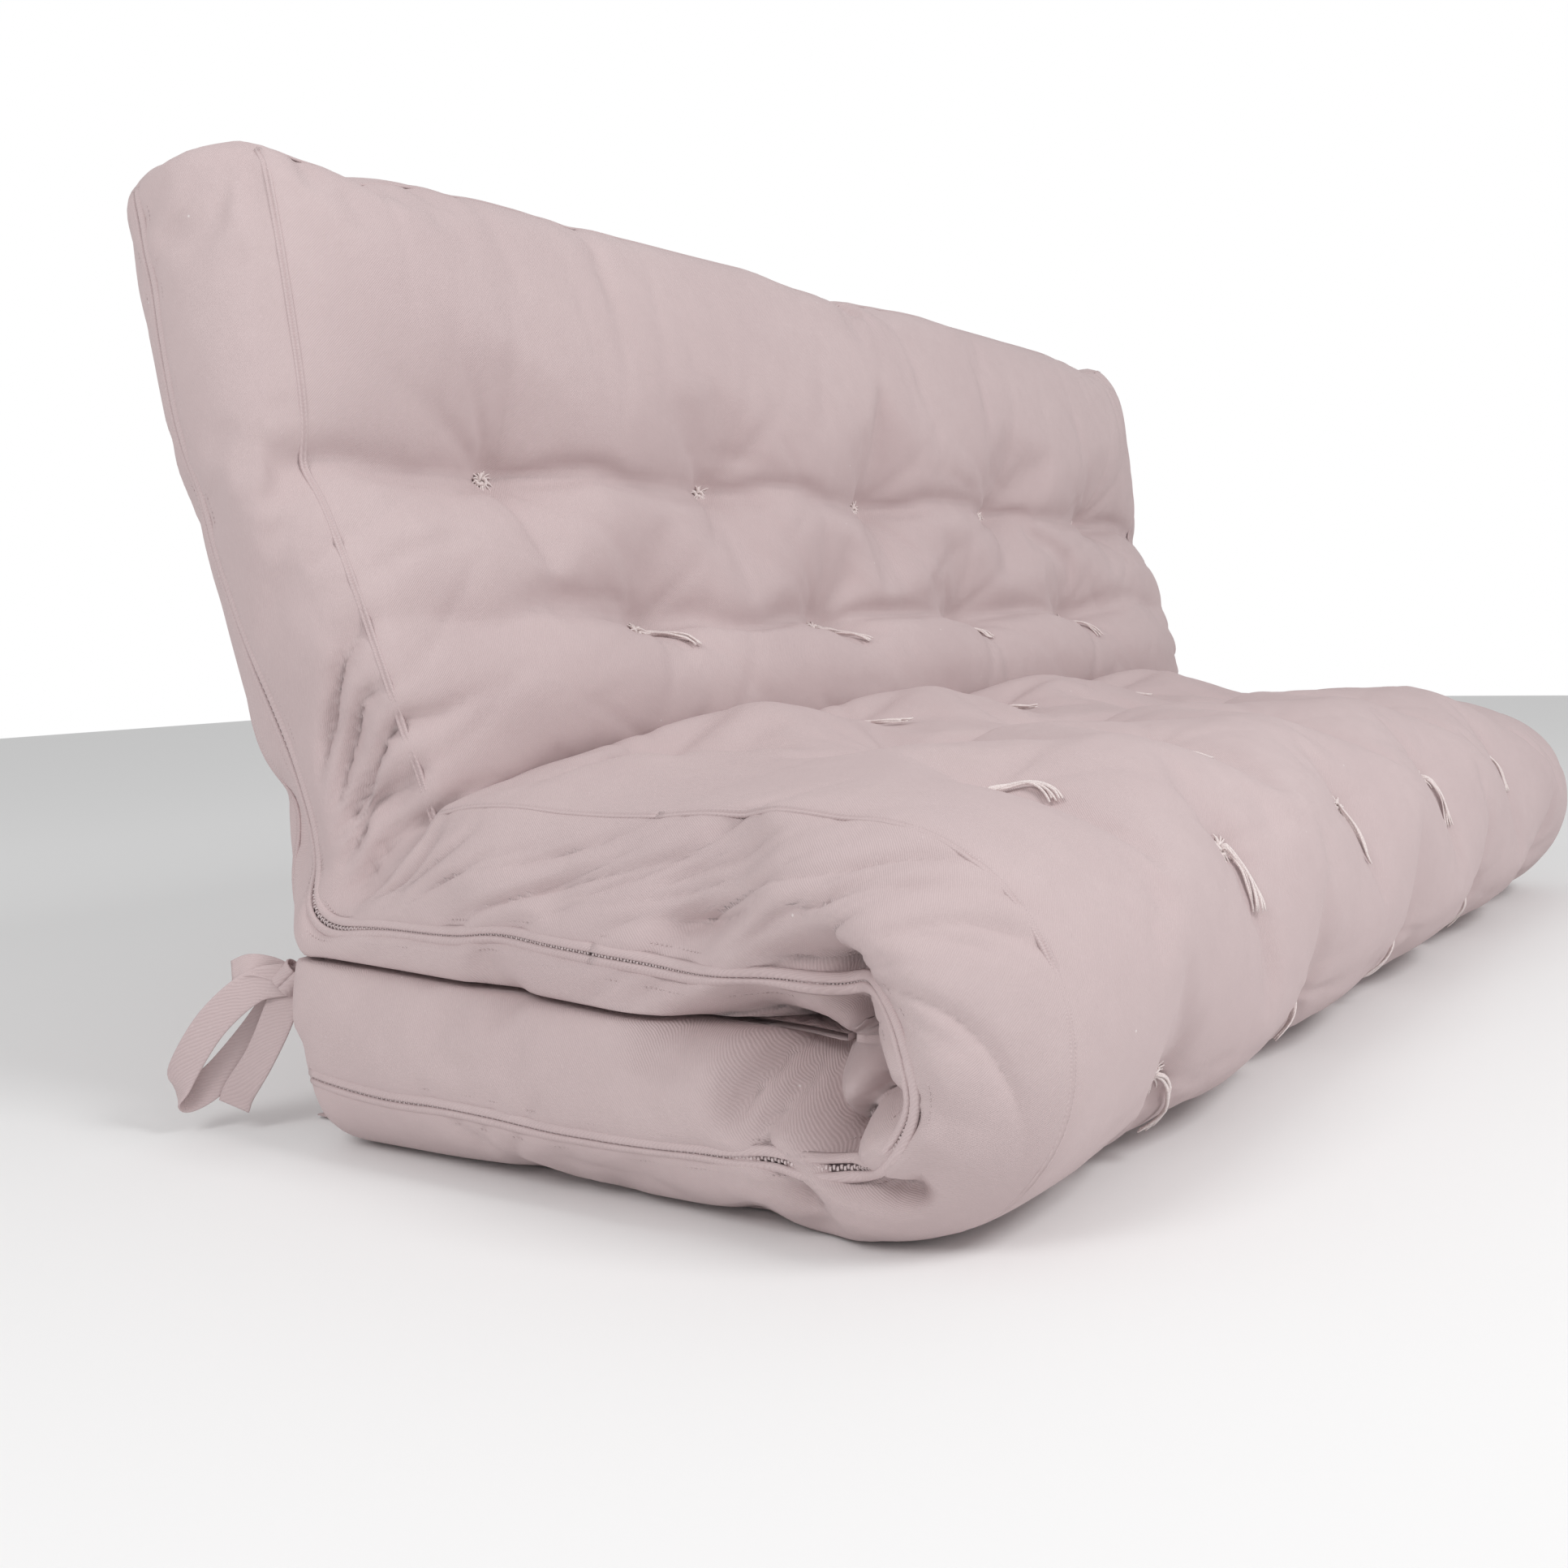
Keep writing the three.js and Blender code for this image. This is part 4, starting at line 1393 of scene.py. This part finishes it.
def fall_along_cloth(spot, outward, start_way, length, step=0.005, above=0.0045):
    """A path of a given length from a knot, out a little and then down over the cloth."""
    path = [spot + outward * 0.003]
    way = start_way + outward * 0.7
    way /= np.linalg.norm(way)
    for n in range(int(length / step)):
        nxt = path[-1] + way * step
        found, normal, _, _ = folded_tree.find_nearest(Vector(nxt))
        normal = np.array(normal)
        nxt = np.array(found) + normal * max(above, 0.007 - 0.001 * n)
        nxt[2] = max(nxt[2], above)
        moved = nxt - path[-1]
        nxt = path[-1] + moved / max(np.linalg.norm(moved), 1e-9) * step
        path.append(nxt)
        gravity = np.array([0, 0, -1.0])
        down = gravity - normal * (gravity @ normal)
        way = 0.72 * way + 0.35 * down
        way -= normal * (way @ normal)
        way /= max(np.linalg.norm(way), 1e-9)
    return np.array(path)


def frayed_ends(spot, outward, draw, strands=16):
    """Short ends of twine that stand out round a knot, each bent its own way."""
    across, along = frame_at(outward, draw)
    meshes = []
    for n in range(strands):
        turn = 2 * math.pi * (n + draw.uniform(-0.3, 0.3)) / strands
        way = across * math.cos(turn) + along * math.sin(turn)
        length = draw.uniform(0.007, 0.013)
        rise = draw.uniform(0.1, 0.9)
        share = np.linspace(0, 1, 6)[:, None]
        path = (spot + outward * (0.003 + length * rise * (share - 0.6 * share**2))
                + way * (0.003 + length * share) - np.array([0, 0, 0.003]) * share**2)
        meshes.append(tube(path, np.interp(share[:, 0], [0, 1], [0.0011, 0.0006]), 5))
    return joined(meshes)


def path_length(path):
    return float(np.linalg.norm(np.diff(path, axis=0), axis=1).sum())


def tassel_mesh(path, draw, strands=6):
    """Loose strands of twine round a path, close at the knot and fanned at the ends."""
    meshes = []
    share = np.linspace(0, 1, len(path))
    forward = np.gradient(path, axis=0)
    forward /= np.linalg.norm(forward, axis=1)[:, None]
    _, normal, _, _ = folded_tree.find_nearest(Vector(path[len(path) // 2]))
    flat_side = np.cross(forward, np.array(normal))
    flat_side /= np.maximum(np.linalg.norm(flat_side, axis=1), 1e-9)[:, None]
    lift = np.cross(flat_side, forward)
    for n in range(strands):
        spread = (n - (strands - 1) / 2) / ((strands - 1) / 2)
        wave = 0.0010 * np.sin(share * draw.uniform(5, 9) + draw.uniform(0, 6))
        offset = spread * (0.0012 + 0.0041 * share**2) + wave
        high = draw.uniform(-0.0012, 0.0012) + 0.0008 * np.sin(share * 7 + n)
        strand = path + flat_side * offset[:, None] + lift * high[:, None]
        end = len(path) - (draw.integers(0, 3) if n in (1, 4) else 0)
        thin = np.interp(share, [0, 0.85, 1], [0.0012, 0.0011, 0.0008])
        meshes.append(tube(strand[:end], thin[:end], 5))
    return joined(meshes)


TUFT_NODES = {0: ("back_tuft_", 5), 1: ("back_tuft_", 1), 2: ("seat_tuft_", 1), 3: ("seat_tuft_", 6)}
# the body each row rides on; a row at a joint has none here and is told apart below
ROW_BODIES = ["back", "back", None, "seat", "seat", "seat", None, "lower", "lower", "lower"]
tassel_count = 0
for number, (row, count, depth, valley, steep) in enumerate(ROWS):
    along = along_from_run(row)
    for i, across in enumerate(tuft_row(count)):
        draw = np.random.default_rng(300 + 10 * number + i)
        spot, outward = (v[0] for v in on_cloth([(along, across, thick / 2)]))
        parts = [knot_mesh(spot, outward, draw)]
        if number < 7:
            parts.append(frayed_ends(spot, outward, np.random.default_rng(700 + 10 * number + i)))
        replaced = []
        if number in TUFT_NODES:
            prefix, first = TUFT_NODES[number]
            replaced = [f"{prefix}{first + i}"]
        if number < 2:
            rear_along = along_from_run(rear_rows[number][0], rear_run)
            rear_spot, rear_out = (v[0] for v in on_cloth([(rear_along, across, -thick / 2)]))
            parts.append(knot_mesh(rear_spot, rear_out, draw))
        body = ROW_BODIES[number]
        if number == 2:
            body = follow_rear_fold
        if number == 6:
            body = "seat" if spot[2] > fold_z else "lower"
        name = replaced[0] + "_knot" if replaced else f"knot_row_{number + 1}_{i + 1}"
        knot = finish_piece(name, joined(parts), body, twine)
        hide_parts(*replaced)
        if number > 6 or number == 0:
            continue
        hang = draw.uniform(0.060, 0.080)
        sideways = np.array([draw.uniform(-0.7, 1.0), -0.5, 0.0])
        path = fall_along_cloth(spot, outward, sideways / np.linalg.norm(sideways), hang)
        tassel = finish_piece(
            f"tassel_row_{number + 1}_{i + 1}", tassel_mesh(path, draw), body, twine
        )
        path_length(path)
        tassel_count += 1
print(tassel_count, "tassels")

# %% [markdown]
# The pad is tied to whatever it lies on with tapes of folded twill, sewn in at the rear fold and
# under the rear edge. The upper ones are tied in a bow: a loop that turns over at its end, a tail
# behind it, a short stub, and a wrap of tape that grips them all. A tape is a thin closed strip,
# and at every place it is told which way its broad side faces.

# %% Tie tapes
tape_profile = [
    (-0.0140, -0.0005), (-0.0140, 0.0005), (-0.0128, 0.0010), (-0.0100, 0.0007), (0.0100, 0.0007),
    (0.0128, 0.0010), (0.0140, 0.0005), (0.0140, -0.0005), (0.0128, -0.0010), (-0.0128, -0.0010),
]


def curve_through(places, count):
    """A smooth line through a few places, by Catmull and Rom's rule."""
    places = np.asarray(places, float)
    ends = np.concatenate([[2 * places[0] - places[1]], places, [2 * places[-1] - places[-2]]])
    t = np.linspace(0, len(places) - 1 - 1e-6, count)
    k = t.astype(int)
    f = (t - k)[:, None]
    p0, p1, p2, p3 = (ends[k + n] for n in range(4))
    return 0.5 * (2 * p1 + (p2 - p0) * f + (2 * p0 - 5 * p1 + 4 * p2 - p3) * f**2
                  + (3 * p1 - p0 - 3 * p2 + p3) * f**3)


def tape(places, facings, count=40, width=1.0):
    """A tape through some places, with its stitches near both edges, and its length."""
    middle, facing = curve_through(places, count), curve_through(facings, count)
    facing /= np.linalg.norm(facing, axis=1)[:, None]
    profile = [(x * width, z) for x, z in tape_profile]
    cloth_part = strip(middle, facing, profile)
    forward = np.gradient(middle, axis=0)
    side = np.cross(facing, forward)
    side /= np.linalg.norm(side, axis=1)[:, None]
    threads = [
        stitches(middle + side * edge * width + facing * face * 0.0008, facing * face)
        for edge in (-0.0112, 0.0112)
        for face in (-1, 1)
    ]
    return cloth_part, threads, path_length(middle)


def bow(hand):
    """All tapes of one bow. hand is -1 on the left and 1 on the right."""
    knot = np.array([hand * 0.893, fold_y + 0.036, fold_z - 0.012])
    out = np.array([hand * 0.45, 0.89, 0.0])
    out /= np.linalg.norm(out)
    up = np.array([0, 0, 1.0])
    face = np.cross(out, up) * -hand
    if face[0] * hand < 0:
        face = -face

    def at(u, v, w=0.0):
        return knot + out * u + up * v + face * w

    down_out = (out - up) / math.sqrt(2)
    loop_places = [at(0, 0, 0.004), at(0.030, -0.006, 0.009), at(0.066, -0.036, 0.012),
                   at(0.096, -0.078, 0.008), at(0.104, -0.100, 0.002), at(0.096, -0.102, -0.004),
                   at(0.072, -0.086, -0.007), at(0.040, -0.052, -0.008), at(0.014, -0.020, -0.005),
                   at(0, -0.002, -0.002)]
    loop_faces = [face, face, face, face + 0.6 * down_out, down_out, down_out - 0.8 * face,
                  -face, -face, -face, -face]
    tail_places = [at(0.002, -0.004, 0.001), at(0.012, -0.034, 0.004), at(0.030, -0.068, 0.003),
                   at(0.052, -0.098, -0.003), at(0.058, -0.111, -0.004)]
    stub_places = [at(0, 0, 0), at(0.016, 0.009, 0.003), at(0.034, 0.012, 0.005), at(0.050, 0.006, 0.002)]
    strap_places = [at(-0.030, 0.012, -0.010), at(-0.016, 0.010, -0.006), at(-0.002, 0.002, -0.001)]
    stub_face = face + 0.6 * up
    pieces = [
        tape(loop_places, loop_faces, 60),
        tape(tail_places, [face, face, face + 0.2 * out, face, face], 36),
        tape(stub_places, [stub_face] * 4, 20, 0.7),
        tape(strap_places, [face + up] * 3, 14, 0.7),
    ]
    turn = np.linspace(0, 2 * math.pi, 22)
    axis = (out - 0.9 * up) / np.linalg.norm(out - 0.9 * up)
    side = np.cross(axis, face)
    wrap_way = np.cos(turn)[:, None] * face + np.sin(turn)[:, None] * side
    wrap = knot + wrap_way * (0.0085 + 0.0035 * np.abs(np.sin(turn)))[:, None]
    pieces.append((strip(wrap, wrap_way, [(x * 0.72, z) for x, z in tape_profile]), [],
                   path_length(wrap)))
    return pieces


for hand, hand_name in ((-1, "left"), (1, "right")):
    pieces = bow(hand)
    cloth_parts = joined([p[0] for p in pieces])
    bow_piece = finish_piece(f"bow_{hand_name}", cloth_parts, "seat", twill)
    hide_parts(f"tie_bow_{hand_name}")
    threads = finish_piece(
        f"bow_stitches_{hand_name}", joined([t for p in pieces for t in p[1]]), "seat", thread
    )
    lowest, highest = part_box(f"tie_end_{hand_name}")
    middle_x = (lowest.x + highest.x) / 2
    places = [(middle_x, lowest.y - 0.012, 0.0060), (middle_x, lowest.y + 0.008, 0.0030),
              (middle_x + 0.002, lowest.y + 0.035, 0.0022), (middle_x + 0.004, highest.y, 0.0018)]
    end_cloth, end_threads, end_length = tape(places, [(0, 0, 1.0)] * 4, 24)
    end_piece = finish_piece(f"tie_tail_{hand_name}", end_cloth, "lower", twill)
    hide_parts(f"tie_end_{hand_name}")
    threads = finish_piece(
        f"tie_tail_stitches_{hand_name}", joined(end_threads), "lower", thread
    )

# %% [markdown]
# A pale floor and a white surround give soft light from all sides, as in a bright studio. One large
# lamp from the front left lets the folds cast soft shadows, and a weaker one lights the near side.

# %% Floor and light
bpy.ops.mesh.primitive_plane_add(size=14, location=(0, 0, -0.001))
floor = bpy.context.object
floor.name = "floor"
white = bpy.data.materials.new("floor_white")
white.use_nodes = True
white.node_tree.nodes["Principled BSDF"].inputs["Base Color"].default_value = (0.9, 0.9, 0.9, 1)
white.node_tree.nodes["Principled BSDF"].inputs["Roughness"].default_value = 0.8
floor.data.materials.append(white)
world = bpy.data.worlds.new("world")
bpy.context.scene.world = world
world.use_nodes = True
background = world.node_tree.nodes["Background"]
background.inputs["Color"].default_value = (1, 1, 1, 1)
background.inputs["Strength"].default_value = 0.60
seen_white = world.node_tree.nodes.new("ShaderNodeBackground")
seen_white.inputs["Color"].default_value = (1, 1, 1, 1)
seen_white.inputs["Strength"].default_value = 1.0
ray_kind = world.node_tree.nodes.new("ShaderNodeLightPath")
world_mix = world.node_tree.nodes.new("ShaderNodeMixShader")
world.node_tree.links.new(ray_kind.outputs["Is Camera Ray"], world_mix.inputs["Fac"])
world.node_tree.links.new(background.outputs[0], world_mix.inputs[1])
world.node_tree.links.new(seen_white.outputs[0], world_mix.inputs[2])
world.node_tree.links.new(world_mix.outputs[0], world.node_tree.nodes["World Output"].inputs[0])


def area_light(name, location, target, size, power):
    light = bpy.data.lights.new(name, "AREA")
    light.shape = "RECTANGLE"
    light.size, light.size_y = size
    light.energy = power
    obj = bpy.data.objects.new(name, light)
    bpy.context.scene.collection.objects.link(obj)
    obj.location = location
    aim = Vector(target) - Vector(location)
    obj.rotation_euler = aim.to_track_quat("-Z", "Y").to_euler()
    return obj


area_light("key", (-0.5, -2.6, 2.4), (0.1, 0.1, 0.2), (1.2, 0.9), 43)
area_light("side", (-2.9, -0.1, 1.9), (-0.6, 0.1, 0.2), (1.0, 1.0), 19)
bpy.context.scene.view_settings.view_transform = "Standard"
